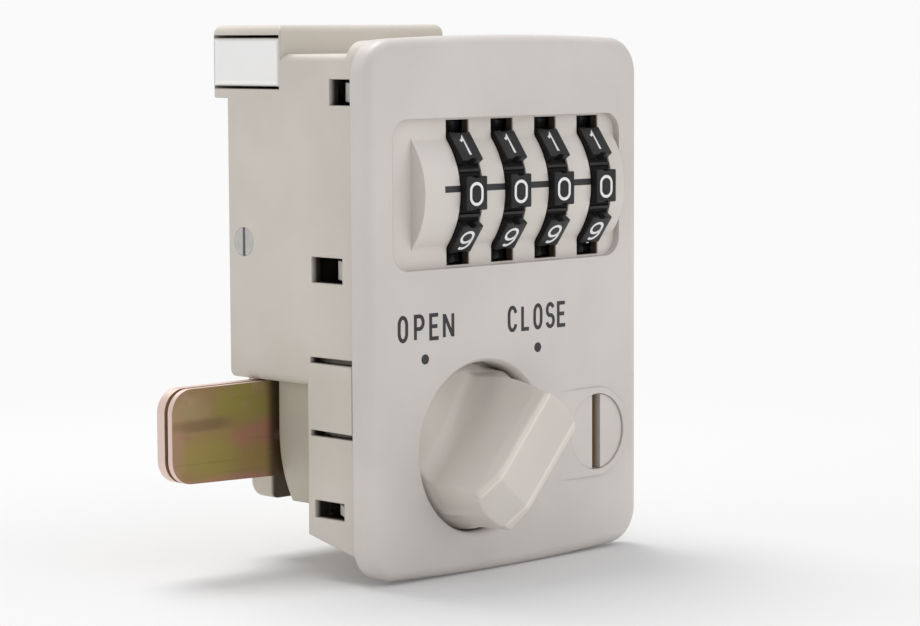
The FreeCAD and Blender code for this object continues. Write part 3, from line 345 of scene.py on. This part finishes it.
ink = Finish("printed_ink", Base_Color=(0.03, 0.027, 0.03, 1), Roughness=0.5)
ink.set(Roughness=0.42 + 0.2 * ink.noise(900, 2))
ink.set(Base_Color=ink.mix(ink.noise(400, 3), (0.012, 0.011, 0.013, 1), (0.030, 0.027, 0.029, 1)))

LETTER_H = 4.0 * MM
LETTER_STROKE = 0.58 * MM
LETTER_FOOT = -4.45 * MM
# Each letter with its left and right edge, in millimetres.
WORDS = {
    "OPEN": [("O", -23.34, -21.30), ("P", -20.20, -18.10), ("E", -17.20, -15.05), ("N", -14.50, -12.20)],
    "CLOSE": [("C", -1.13, 0.90), ("L", 1.77, 3.81), ("O", 4.40, 6.42), ("S", 7.10, 9.18),
              ("E", 9.65, 11.80)],
}
for word, letters in WORDS.items():
    mesh = bmesh.new()
    for letter, left, right in letters:
        glyph_strokes(mesh, letter, left * MM, LETTER_FOOT, (right - left) * MM, LETTER_H,
                      LETTER_STROKE, on_plate)
    skin_object("word_" + word.lower(), finished(mesh, word), ink, "lock_case")



def prism(mesh, near_points, far_points):
    """A solid between two outlines with as many points each."""
    near = [mesh.verts.new(point) for point in near_points]
    far = [mesh.verts.new(point) for point in far_points]
    mesh.faces.new(near)
    mesh.faces.new(far[::-1])
    for k in range(len(near)):
        m = (k + 1) % len(near)
        mesh.faces.new((near[k], far[k], far[m], near[m]))


DOT_SIDE, DOT_Z, DOT_R = 11.69 * MM, -7.13 * MM, 0.75 * MM
mesh = bmesh.new()
for side in (-1, 1):
    rim = arc(KNOB_X + side * DOT_SIDE, DOT_Z, DOT_R, DOT_R, 0, 360, 28)[:-1]
    prism(mesh, [on_plate(x, z, 1) for x, z in rim], [on_plate(x, z, 0) for x, z in rim])
skin_object("knob_dots", finished(mesh, "dots"), ink, "lock_case")


# Dial cover: a second moulding behind the window, with a half drum over the dials and a slot for each. Its
# indicator line is printed across the drum at the height of the dialled digits.
DRUM_Y, DIAL_Z, DRUM_R = 6.23 * MM, 16.9 * MM, 12.0 * MM
DIAL_XS = [(-9.96 + 9.32 * k) * MM for k in range(4)]
DRUM_LEFT, DRUM_RIGHT = -19.35 * MM, 23.2 * MM
DARK_INSIDE_R, DARK_EASE = DRUM_R - 0.5 * MM, 0.4 * MM
DARK_BACK_START, DARK_BACK_END = -2.70 * MM, -2.35 * MM
cover_skin = moulded("cover_skin", rgb(211, 205, 199), rough=0.36, speck=0.3, edge=0.2)
along, deep, height = cover_skin.split()
within = cover_skin.band(along, DRUM_LEFT, DRUM_RIGHT, 0.15 * MM)
from_axis = ((deep - DRUM_Y) * (deep - DRUM_Y) + (height - DIAL_Z) * (height - DIAL_Z)) ** 0.5
# Painted shade: the slot walls, the drum's inside and every face behind the panel's front are painted dark
# brown.
painted_slot_shade = cover_skin.node("ShaderNodeMath", {"operation": "MAXIMUM"}, {
    0: within * (1 - cover_skin.ease(from_axis, DARK_INSIDE_R, DARK_INSIDE_R + DARK_EASE)),
    1: cover_skin.ease(deep, DARK_BACK_START, DARK_BACK_END)})
cover_skin.set(Base_Color=cover_skin.mix(painted_slot_shade, cover_skin.colour, rgb(84, 70, 58)))
dress("dial_cover", cover_skin, smooth=28)
SLOT_HALF = 2.35 * MM
LINE_Z, LINE_H = 17.6 * MM, 0.95 * MM
LINE_START, LINE_TAIL = -15.4 * MM, 0.5 * MM


def on_drum(x, z, lift):
    radius = DRUM_R - INK_DEEP + lift * (INK_DEEP + INK_PROUD)
    angle = math.asin((z - DIAL_Z) / DRUM_R)
    return Vector((x, DRUM_Y - radius * math.cos(angle), DIAL_Z + radius * math.sin(angle)))


mesh = bmesh.new()
ends = [(LINE_START, DIAL_XS[0] - SLOT_HALF)]
ends += [(DIAL_XS[k] + SLOT_HALF, DIAL_XS[k + 1] - SLOT_HALF) for k in range(3)]
ends += [(DIAL_XS[3] + SLOT_HALF, DIAL_XS[3] + SLOT_HALF + LINE_TAIL)]
for x0, x1 in ends:
    ribbon(mesh, [(x0, LINE_Z), (x1, LINE_Z)], False, LINE_H, on_drum)
skin_object("index_line", finished(mesh, "line"), ink, "lock_case")


# Dial wheels: black mouldings with ten raised pads, polished on their faces by fingers. The digits are
# white, printed one on each pad, rising from 0 at the front.
DIAL_Y, PAD_R = 4.92 * MM, 11.8 * MM
POLISH_AND_SHADE_START, POLISH_AND_SHADE_END = PAD_R - 1.15 * MM, PAD_R - 1.0 * MM
wheel_black = Finish("wheel_black", Specular_IOR_Level=0.26)
rub = wheel_black.noise(260, 4)
brush = wheel_black.noise(900, 2, wheel_black.squeeze(0.25, 1, 1))
_, deep, height = wheel_black.split()
from_axle = ((deep - DIAL_Y) * (deep - DIAL_Y) + (height - DIAL_Z) * (height - DIAL_Z)) ** 0.5
# Painted shade: below the pad faces, and on faces turned along the axle, the black is painted darker; the pad
# faces are also glossier.
polished_and_unshaded = wheel_black.ease(from_axle, POLISH_AND_SHADE_START, POLISH_AND_SHADE_END)
handled = wheel_black.mix(wheel_black.ease(rub, 0.35, 0.75),
                          (0.009, 0.009, 0.010, 1), (0.020, 0.020, 0.022, 1))
sideways = wheel_black.node("ShaderNodeSeparateXYZ", None,
                            {0: wheel_black.node("ShaderNodeTexCoord", output="Normal")}, output=0)
polished_and_unshaded = polished_and_unshaded * (1 - wheel_black.ease(sideways * sideways, 0.3, 0.7))
wheel_black.set(Base_Color=wheel_black.mix(polished_and_unshaded, (0.004, 0.004, 0.004, 1), handled))
wheel_black.set(Roughness=0.70 - polished_and_unshaded * (0.48 - 0.12 * rub - 0.04 * brush))
wheel_black.set(Normal=wheel_black.bump(brush, 0.000004, 0.4, wheel_black.soft_edge(0.1 * MM)))

PADS, PAD_TURN = 10, 36
WHEEL_W, GROOVE_R, RIB_R, BORE_R = 4.4 * MM, 10.4 * MM, 10.8 * MM, 4.02 * MM
PAD_L, PAD_FOOT_R = 5.0 * MM, 9.9 * MM
NOTCH_HALF, NOTCH_DEPTH = 0.75 * MM, 0.5 * MM
RIB_W = 0.45 * MM


def slab_out(mesh, outline, turn, foot, top):
    """An outline pushed out from the axle between two radii. Returns its top and corner edges."""
    outward = Vector((0, -math.cos(turn), math.sin(turn)))
    upward = Vector((0, math.sin(turn), math.cos(turn)))
    lower = [mesh.verts.new(Vector((x, 0, 0)) + outward * foot + upward * z) for x, z in outline]
    upper = [mesh.verts.new(Vector((x, 0, 0)) + outward * top + upward * z) for x, z in outline]
    mesh.faces.new(lower)
    cap = mesh.faces.new(upper[::-1])
    corners = []
    for k in range(len(outline)):
        m = (k + 1) % len(outline)
        side = mesh.faces.new((lower[m], lower[k], upper[k], upper[m]))
        corners += [edge for edge in side.edges if set(edge.verts) == {lower[k], upper[k]}]
    return list(cap.edges) + corners


def wheel_mesh():
    """One wheel about the origin: ten notched pads and ten ribs round a bored rim."""
    mesh = bmesh.new()
    half, tip = WHEEL_W / 2, PAD_L / 2
    pad = [(-half, -tip), (-NOTCH_HALF, -tip), (0, NOTCH_DEPTH - tip), (NOTCH_HALF, -tip), (half, -tip),
           (half, tip), (NOTCH_HALF, tip), (0, tip - NOTCH_DEPTH), (-NOTCH_HALF, tip), (-half, tip)]
    edges = []
    for n in range(PADS):
        edges += slab_out(mesh, pad, math.radians(PAD_TURN * n), PAD_FOOT_R, PAD_R)
    bmesh.ops.bevel(mesh, geom=edges, offset=0.2 * MM, offset_type="OFFSET", segments=3, profile=0.5,
                    affect="EDGES", clamp_overlap=True)
    rib = [(-half, -RIB_W / 2), (half, -RIB_W / 2), (half, RIB_W / 2), (-half, RIB_W / 2)]
    for n in range(PADS):
        slab_out(mesh, rib, math.radians(PAD_TURN * (n + 0.5)), PAD_FOOT_R, RIB_R)
    rings = []
    steps = 90
    for n in range(steps):
        turn = 2 * math.pi * n / steps
        rings.append([mesh.verts.new((x, -r * math.cos(turn), r * math.sin(turn))) for x, r in
                      ((-half, BORE_R), (-half, GROOVE_R), (half, GROOVE_R), (half, BORE_R))])
    for n in range(steps):
        a, b = rings[n], rings[(n + 1) % steps]
        for k in range(4):
            m = (k + 1) % 4
            mesh.faces.new((a[k], b[k], b[m], a[m]))
    return mesh


digit_white = Finish("digit_white", Roughness=0.45)
thin_ink = digit_white.noise(700, 2)
digit_white.set(Base_Color=digit_white.mix(thin_ink, (0.72, 0.72, 0.73, 1), (0.86, 0.86, 0.86, 1)))

DIGIT_W, DIGIT_H, DIGIT_STROKE = 2.8 * MM, 3.5 * MM, 0.44 * MM
ONE_NARROWER, DIGIT_LEFT, DIGIT_DROP = 0.72, 0.1 * MM, 0.1 * MM
for number, wheel_x in enumerate(DIAL_XS, start=1):
    dress("dial_wheel_%d" % number, wheel_black, smooth=20)
    mesh = wheel_mesh()
    mesh.transform(Matrix.Translation((wheel_x, DIAL_Y, DIAL_Z)))
    wheel = skin_object("number_wheel_%d" % number, finished(mesh, "wheel"), wheel_black,
                        "dial_%d" % number)
    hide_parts("dial_wheel_%d" % number)
    dress(wheel, wheel_black, smooth=35)
    mesh = bmesh.new()
    for digit in range(PADS):
        turn = math.radians(PAD_TURN * digit)
        outward = Vector((0, -math.cos(turn), math.sin(turn)))
        upward = Vector((0, math.sin(turn), math.cos(turn)))
        hub = Vector((wheel_x - DIGIT_LEFT, DIAL_Y, DIAL_Z))

        def on_pad(x, z, lift):
            radius = PAD_R - INK_DEEP + lift * (INK_DEEP + INK_PROUD)
            return hub + Vector((x, 0, 0)) + outward * radius + upward * z

        wide = DIGIT_W * (ONE_NARROWER if digit == 1 else 1)
        glyph_strokes(mesh, str(digit), -wide / 2, -DIGIT_H / 2 - DIGIT_DROP, wide, DIGIT_H,
                      DIGIT_STROKE, on_pad)
    skin_object("digits_%d" % number, finished(mesh, "digits"), digit_white, "dial_%d" % number)


# Turn knob: a bar between two scooped flanks on a round foot, of the same grey plastic as the plate. It is
# pressed on the spindle. The mould rounds its edges, and the bar's chamfers and front edges are painted paler
# as highlights.
KNOB_LEAN = math.radians(42)
PROUD_START, PROUD_END = -13.6 * MM, -13.2 * MM
CHAMFER_IN, CHAMFER_OUT = 3.45 * MM, 4.55 * MM
CORNER_IN, CORNER_OUT = 3.15 * MM, 3.8 * MM
HIGHLIGHT_EASE = 0.2 * MM
knob_skin = moulded("knob_skin", rgb(208, 202, 195), rough=0.30, speck=0.25, grain=0.6, edge=0.3)
along, deep, height = knob_skin.split()
across = (along - KNOB_X) * math.cos(KNOB_LEAN) - (height - KNOB_Z) * math.sin(KNOB_LEAN)
off_middle = (across * across) ** 0.5
proud = 1 - knob_skin.ease(deep, PROUD_START, PROUD_END)
chamfer = knob_skin.band(off_middle, CHAMFER_IN, CHAMFER_OUT, HIGHLIGHT_EASE)
corner = knob_skin.band(off_middle, CORNER_IN, CORNER_OUT, HIGHLIGHT_EASE)
# Painted highlight: on the proud part of the bar, a paler band on each chamfer and a brighter line along the
# front face's edges.
painted_chamfer_highlight = knob_skin.mix(0.30 * chamfer * proud, knob_skin.colour, rgb(228, 221, 210))
knob_skin.set(Base_Color=knob_skin.mix(0.55 * corner * proud, painted_chamfer_highlight, rgb(236, 229, 219)))
KNOB_BASE_FRONT, KNOB_BASE_BACK = -2.55 * MM, 0.3 * MM
KNOB_RIM_IN, KNOB_RIM_OUT, KNOB_WIDER = 11.6 * MM, 12.1 * MM, 0.45 * MM
BAR_EDGE_IN, BAR_EDGE_OUT, BAR_EDGE_Y = 3.6 * MM, 4.05 * MM, -12.4 * MM
CHAMFER_MORE, CHAMFER_SPREAD, BAR_L = 0.15 * MM, 0.6 * MM, 18 * MM
SKIN_CELL, SKIN_PASSES, SKIN_KEEP = 0.15 * MM, 10, 0.4
SCOOP_DROP, SCOOP_PULL, SCOOP_FADE = 2.1 * MM, 0.10, 6 * MM
SCOOP_ALONG, SCOOP_ACROSS = (-5.0 * MM, 7.5 * MM), (2.0 * MM, 6.5 * MM)


def knob_way(co):
    """A point's place along the bar and across it."""
    dx, dz = co.x - KNOB_X, co.z - KNOB_Z
    sine, cosine = math.sin(KNOB_LEAN), math.cos(KNOB_LEAN)
    return dx * sine + dz * cosine, dx * cosine - dz * sine


def rise(value, low, high):
    """0 below low, 1 above high, with a soft rise between."""
    share = min(1, max(0, (value - low) / (high - low)))
    return share * share * (3 - 2 * share)


mesh = bmesh.new()
mesh.from_mesh(nodes["knob"].data)
bmesh.ops.remove_doubles(mesh, verts=mesh.verts, dist=0.00001)
for vert in mesh.verts:
    if KNOB_RIM_IN < from_knob(vert.co) < KNOB_RIM_OUT and vert.co.y > KNOB_BASE_FRONT - 0.1 * MM:
        move_out(vert.co, from_knob(vert.co) + KNOB_WIDER)
    s, t = knob_way(vert.co)
    if BAR_EDGE_IN < abs(t) < BAR_EDGE_OUT and vert.co.y < BAR_EDGE_Y:
        pull = math.copysign(CHAMFER_MORE + CHAMFER_SPREAD * (0.5 - s / BAR_L), t)
        vert.co.x -= pull * math.cos(KNOB_LEAN)
        vert.co.z += pull * math.sin(KNOB_LEAN)
grip = skin_object("knob_grip", finished(mesh, "knob_grip"), knob_skin, "knob_and_bolt")
skin = grip.modifiers.new("skin", "REMESH")
skin.mode = "VOXEL"
skin.voxel_size = SKIN_CELL
rounding = grip.modifiers.new("rounding", "SMOOTH")
rounding.factor = 0.5
rounding.iterations = SKIN_PASSES
thinning = grip.modifiers.new("thinning", "DECIMATE")
thinning.ratio = SKIN_KEEP
bpy.context.view_layer.update()
rounded = bpy.data.meshes.new_from_object(grip.evaluated_get(bpy.context.evaluated_depsgraph_get()))
grip.modifiers.clear()
grip.data = rounded
for vert in rounded.vertices:
    co = vert.co
    s, t = knob_way(co)
    share = rise(s, *SCOOP_ALONG) * rise(-t, *SCOOP_ACROSS)
    if co.y > KNOB_BASE_FRONT:
        share *= (KNOB_BASE_BACK - co.y) / (KNOB_BASE_BACK - KNOB_BASE_FRONT)
    else:
        share *= 1 - rise(KNOB_BASE_FRONT - co.y, 0, SCOOP_FADE)
    if share > 0:
        co.y += SCOOP_DROP * share
        move_out(co, from_knob(co) * (1 - SCOOP_PULL * share))
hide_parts("knob")
dress("knob", knob_skin)
dress(grip, knob_skin, smooth=60)


# Key plug: a grey plastic cylinder with an upright slot for the master key, turning in the plate's ring. Its
# tail lever and clip hold it from behind. Deep in the slot the plug is painted a darker tan as shade.
KEYWAY_FRONT, KEYWAY_DEEP = -3.9 * MM, -2.4 * MM
plug_skin = moulded("plug_skin", rgb(207, 201, 196), rough=0.38, speck=0.2, edge=0.15)
# Painted shade: deeper than the slot's mouth the plug is painted a darker tan.
keyway_shade = plug_skin.ease(plug_skin.split()[1], KEYWAY_FRONT, KEYWAY_DEEP)
plug_skin.set(Base_Color=plug_skin.mix(keyway_shade, plug_skin.colour, rgb(150, 124, 90)))
dress("key_plug", plug_skin, smooth=28)


# Housing: a plainer moulding in a matt, slightly greener grey, which the locker hides. Its walls are painted
# dark as shade inside the side windows, and two webs close the corners beside the inner case.
WALL_INSIDE_X, WALL_OUTSIDE_X = 25.9 * MM, 27.0 * MM
INSIDE_BACK, INSIDE_FOOT, INSIDE_HEAD = 11.2 * MM, -33.2 * MM, 36.2 * MM
SHADE_EASE = 0.2 * MM
case_skin = moulded("case_skin", rgb(203, 197, 188), rough=0.50, speck=0.6, grain=1.4, edge=0.35)
along, deep, height = case_skin.split()
sideways = (along * along) ** 0.5
# Painted shade: the walls' inner faces inside the side windows are painted dark brown.
painted_inside_shade = 1 - case_skin.ease(sideways, WALL_INSIDE_X, WALL_OUTSIDE_X)
painted_inside_shade = painted_inside_shade * (1 - case_skin.ease(deep, INSIDE_BACK, INSIDE_BACK + SHADE_EASE))
painted_inside_shade = painted_inside_shade * case_skin.band(height, INSIDE_FOOT, INSIDE_HEAD, SHADE_EASE)
case_skin.set(Base_Color=case_skin.mix(painted_inside_shade, case_skin.colour, rgb(48, 42, 36)))
dress("housing", case_skin, smooth=28)

WEB_FRONT, WEB_BACK = 10.1 * MM, 11.3 * MM
WEB_X, WEB_FOOT_Z, WEB_STEPS = 24.23 * MM, -30.38 * MM, 12
FLANK_R, FLANK_X, FLANK_Z = 24.0 * MM, 0.25 * MM, -19.5 * MM
for name, side, head_z in (("corner_web_left", -1, -19.9 * MM), ("corner_web_right", 1, -24.8 * MM)):
    outline = []
    for k in range(WEB_STEPS + 1):
        z = head_z + (WEB_FOOT_Z - head_z) * k / WEB_STEPS
        outline.append((FLANK_X + math.sqrt(FLANK_R ** 2 - (z - FLANK_Z) ** 2), z))
    outline += [(WEB_X, WEB_FOOT_Z), (WEB_X, head_z)]
    mesh = bmesh.new()
    prism(mesh, [(side * x, WEB_FRONT, z) for x, z in outline], [(side * x, WEB_BACK, z) for x, z in outline])
    skin_object(name, finished(mesh, name), case_skin, "lock_case")


# Rear cover: a flat moulding screwed on the housing's back. Its lower end guards the bolt, and its front
# behind the bolt is painted dark as shade.
GUARD_SHADED, GUARD_UNSHADED = 26.2 * MM, 27.0 * MM
guard_skin = moulded("guard_skin", rgb(188, 180, 167), rough=0.52, speck=0.5, grain=1.4, edge=0.4)
# Painted shade: the front of the cover's lower end, behind the bolt, is painted dark.
unshaded = guard_skin.ease(guard_skin.split()[1], GUARD_SHADED, GUARD_UNSHADED)
guard_skin.set(Base_Color=guard_skin.mix(unshaded, rgb(92, 84, 72), guard_skin.colour))
dress("rear_cover", guard_skin, smooth=28)


# Inner case: a matt moulding in the housing under the dials, which carries the spindle and the bolt. Its
# curved flank shows under the housing.
core_skin = moulded("core_skin", rgb(190, 184, 170), rough=0.55, speck=0.4, grain=1.6, edge=0.4)
dress("inner_case", core_skin, smooth=28)


# Side block: a glossy white moulding that slides in the head's left end. A bowed spring leaf behind it
# pushes it out.
block_white = Finish("block_white", Roughness=0.16, Coat_Weight=0.4, Coat_Roughness=0.05)
haze = block_white.noise(70, 3)
block_white.set(Base_Color=block_white.mix(haze, (0.86, 0.85, 0.84, 1), (0.92, 0.91, 0.90, 1)))
block_white.set(Roughness=0.14 + 0.10 * haze)
dress("push_block", block_white, smooth=30)


# Bolt: two blanked steel plates on the spindle, zinc plated and passivated yellow, so that olive, green and
# pink drift over the faces. The cut edges are painted paler as highlights, and the end by the inner case is
# painted dark as its shadow.
zinc = Finish("yellow_zinc", Metallic=0.4)
cloud = zinc.noise(150, 4, zinc.squeeze(0.7, 1, 1), Distortion=0.8)
veil = zinc.noise(330, 3)
along, _, height = zinc.split()


def patch(x, z, wide, high):
    """A soft-edged patch of tint about a place on the bolt at rest, in millimetres."""
    across = (along - x * MM) / (wide * MM)
    up = (height - z * MM) / (high * MM)
    return 1 - zinc.ease(across * across + up * up + 2.2 * cloud + 0.8 * veil, 1.1, 2.6)


# Each tint: place in X and Z, half width, half height, display colour.
TINTS = ((-30.0, -14.6, 9.0, 4.2, (150, 150, 62)), (-36.5, -22.4, 7.5, 4.6, (164, 154, 72)),
         (-41.0, -15.0, 5.0, 3.4, (170, 154, 112)), (-26.5, -19.6, 7.0, 2.6, (182, 122, 108)),
         (-44.0, -20.0, 2.4, 8.0, (176, 144, 112)), (-33.0, -26.6, 16.0, 1.6, (190, 138, 124)),
         (-28.0, -23.0, 6.0, 2.6, (158, 138, 76)), (-38.0, -17.2, 7.0, 1.1, (132, 108, 76)))
TINT_SHARE = 0.8
SHADOW_START, SHADOW_END = -26.4 * MM, -24.4 * MM
tinted = zinc.mix(zinc.ease(cloud, 0.35, 0.68), rgb(164, 128, 100), rgb(156, 136, 86))
for x, z, wide, high, colour in TINTS:
    tinted = zinc.mix(TINT_SHARE * patch(x, z, wide, high), tinted, rgb(*colour))
# Painted shadow: the bolt's end by the inner case is painted dark brown.
tinted = zinc.mix(TINT_SHARE * zinc.ease(along, SHADOW_START, SHADOW_END), tinted, rgb(66, 54, 38))
scratch = zinc.noise(620, 2, zinc.squeeze(0.05, 1, 1))
tinted = zinc.mix(zinc.ease(scratch, 0.60, 0.74) * 0.30, tinted, rgb(108, 88, 66))
tinted = zinc.mix(zinc.ease(veil, 0.55, 0.8) * 0.35, tinted, rgb(196, 164, 150))
facing = zinc.node("ShaderNodeSeparateXYZ", None,
                   {0: zinc.node("ShaderNodeTexCoord", output="Normal")}, output=1)
# Painted highlight: faces not turned along Y, the cut edges, are painted pale pink.
painted_edge_highlight = 1 - zinc.ease(facing * facing, 0.25, 0.7)
scuff = zinc.noise(1500, 2, zinc.squeeze(0.12, 1, 1))
zinc.set(Base_Color=zinc.mix(painted_edge_highlight, tinted, rgb(222, 196, 186)))
zinc.set(Roughness=0.34 + 0.14 * scuff + 0.10 * veil)
zinc.set(Normal=zinc.bump(scuff, 0.00001, 0.6, zinc.soft_edge(0.25 * MM)))
for name in ("bolt_plate_front", "bolt_plate_rear"):
    dress(name, zinc, smooth=30)


# Screws, spindle, lifting cam, locking bar and key tail: steel, turned or stamped and bright zinc plated.
# Most of them are hidden in the housing; the cover's screws show at the back.
steel = Finish("turned_steel", Metallic=1.0)
wear = steel.noise(500, 3)
steel.set(Base_Color=steel.mix(wear, (0.50, 0.50, 0.50, 1), (0.68, 0.68, 0.67, 1)))
steel.set(Roughness=0.28 + 0.2 * wear)
steel.set(Normal=steel.bump(steel.noise(3000, 2), 0.00001, 0.4))
for name in ("cover_screws", "cam_screw", "spindle", "lift_cam", "cam_washer", "bolt_spacer", "dial_axle",
             "locking_bar", "key_tail", "tail_clip"):
    dress(name, steel, smooth=30)


# Side screw: a small slotted screw in the housing's left wall, duller than the others from handling.
# It is zinc plated steel.
side_steel = Finish("side_screw_zinc", Metallic=0.55)
turned = side_steel.noise(900, 3)
side_steel.set(Base_Color=side_steel.mix(turned, (0.42, 0.41, 0.39, 1), (0.58, 0.57, 0.55, 1)))
side_steel.set(Roughness=0.35 + 0.15 * turned)
dress("side_screw", side_steel, smooth=30)


# Spring leaves: the detent leaf behind the dials and the bowed leaf behind the side block. Both are cut from
# rolled spring steel and bent.
spring = Finish("spring_steel", Metallic=1.0)
rolled = spring.noise(1200, 2, spring.squeeze(1, 1, 0.1))
spring.set(Base_Color=spring.mix(rolled, (0.42, 0.43, 0.46, 1), (0.55, 0.56, 0.58, 1)))
spring.set(Roughness=0.25 + 0.15 * rolled)
for name in ("detent_leaf", "block_spring"):
    dress(name, spring, smooth=30)


# Code rings and the axle's bush: brass, turned and a little tarnished. Each ring sits in its wheel and has
# the gate for one tooth of the locking bar.
brass = Finish("ring_brass", Metallic=1.0)
tarnish = brass.noise(300, 4)
brass.set(Base_Color=brass.mix(tarnish, (0.66, 0.46, 0.18, 1), (0.78, 0.60, 0.30, 1)))
brass.set(Roughness=0.25 + 0.25 * tarnish)
for name in ["axle_bush"] + ["code_ring_%d" % (k + 1) for k in range(4)]:
    dress(name, brass, smooth=30)


# Floor and backdrop: a pale table that keeps the lock's shadow and fades into a white background away from
# it. Only the camera sees the fade; the lock is lit by plain white surroundings.
FLOOR_Z, FLOOR_SIZE = -40.02 * MM, 12
BACKGROUND = 0.955
FADE_START, FADE_END = 0.07, 0.26
floor_mesh = bmesh.new()
bmesh.ops.create_grid(floor_mesh, x_segments=1, y_segments=1, size=FLOOR_SIZE)
floor = bpy.data.objects.new("floor", finished(floor_mesh, "floor"))
bpy.context.scene.collection.objects.link(floor)
floor.location = (0, 0, FLOOR_Z)

table = Finish("table_white", Base_Color=(0.80, 0.80, 0.80, 1), Roughness=0.9)
matt = table.node("ShaderNodeBsdfDiffuse", None, {"Color": (0.64, 0.64, 0.645, 1)})
glow = table.node("ShaderNodeEmission", None, {"Color": (0.10, 0.098, 0.096, 1)})
backdrop = table.node("ShaderNodeEmission", None, {"Color": (BACKGROUND, BACKGROUND, BACKGROUND, 1)})
away = table.node("ShaderNodeVectorMath", {"operation": "LENGTH"}, {0: table.place}, output="Value")
seen = table.node("ShaderNodeMixShader", None, {
    0: table.ease(away, FADE_START, FADE_END),
    1: table.node("ShaderNodeAddShader", None, {0: matt, 1: glow}), 2: backdrop})
table.feed(table.out.inputs["Surface"], table.node("ShaderNodeMixShader", None, {
    0: table.node("ShaderNodeLightPath"), 1: Wire(table, table.shader.outputs[0]), 2: seen}))
floor.data.materials.append(table.owner)

sky = Finish("studio", bpy.data.worlds.new("studio"))
bpy.context.scene.world = sky.owner
lit = sky.node("ShaderNodeBackground", None, {"Color": (0.97, 0.98, 1.0, 1), "Strength": 0.62})
backdrop = sky.node("ShaderNodeBackground", None, {"Color": (BACKGROUND, BACKGROUND, BACKGROUND, 1)})
sky.feed(sky.out.inputs["Surface"], sky.node("ShaderNodeMixShader", None, {
    0: sky.node("ShaderNodeLightPath"), 1: lit, 2: backdrop}))


# Lamps: a large soft one in front above, and two behind the plate, on the left and over the housing. Each
# row has its place, its side in metres, its power in watts and its colour.
LAMPS = (("key_light", (0.34, -0.96, 0.62), 1.7, 5.4, (1.0, 0.985, 0.97)),
         ("side_light", (-0.78, 0.30, 0.25), 0.5, 0.75, (1.0, 0.985, 0.965)),
         ("top_light", (0.08, 0.36, 0.80), 0.5, 5.9, (1.0, 0.99, 0.975)))
for name, place, side, power, colour in LAMPS:
    lamp = bpy.data.lights.new(name, "AREA")
    lamp.shape = "SQUARE"
    lamp.size = side
    lamp.energy = power
    lamp.color = colour
    holder = bpy.data.objects.new(name, lamp)
    bpy.context.scene.collection.objects.link(holder)
    holder.location = place
    holder.rotation_euler = (-Vector(place)).to_track_quat("-Z", "Y").to_euler()


# Camera: it stands in front of the lock on its left, 0.45 m away, and looks slightly down. Its place, turn
# and focal length are the ones fitted to the photograph.
YAW, PITCH, ROLL = 0.77770767, 0.09393895, -0.00496869
FOCAL_PX, FRAME_PX, SENSOR_MM = 2988.35, 920, 36
EYE = Vector((-0.3186, -0.316575, 0.0405))
ahead = Vector((math.sin(YAW) * math.cos(PITCH), math.cos(YAW) * math.cos(PITCH), -math.sin(PITCH)))
level_right = Vector((math.cos(YAW), -math.sin(YAW), 0))
level_up = level_right.cross(ahead)
right = math.cos(ROLL) * level_right + math.sin(ROLL) * level_up
up = -math.sin(ROLL) * level_right + math.cos(ROLL) * level_up
camera = bpy.data.cameras.new("camera")
camera.sensor_fit = "HORIZONTAL"
camera.sensor_width = SENSOR_MM
camera.lens = FOCAL_PX * SENSOR_MM / FRAME_PX
camera.clip_start = 0.01
camera.clip_end = 50
eye = bpy.data.objects.new("camera", camera)
bpy.context.scene.collection.objects.link(eye)
eye.matrix_world = Matrix.Translation(EYE) @ Matrix((right, up, -ahead)).transposed().to_4x4()
bpy.context.scene.camera = eye
bpy.context.scene.view_settings.view_transform = "Standard"

bpy.context.view_layer.update()
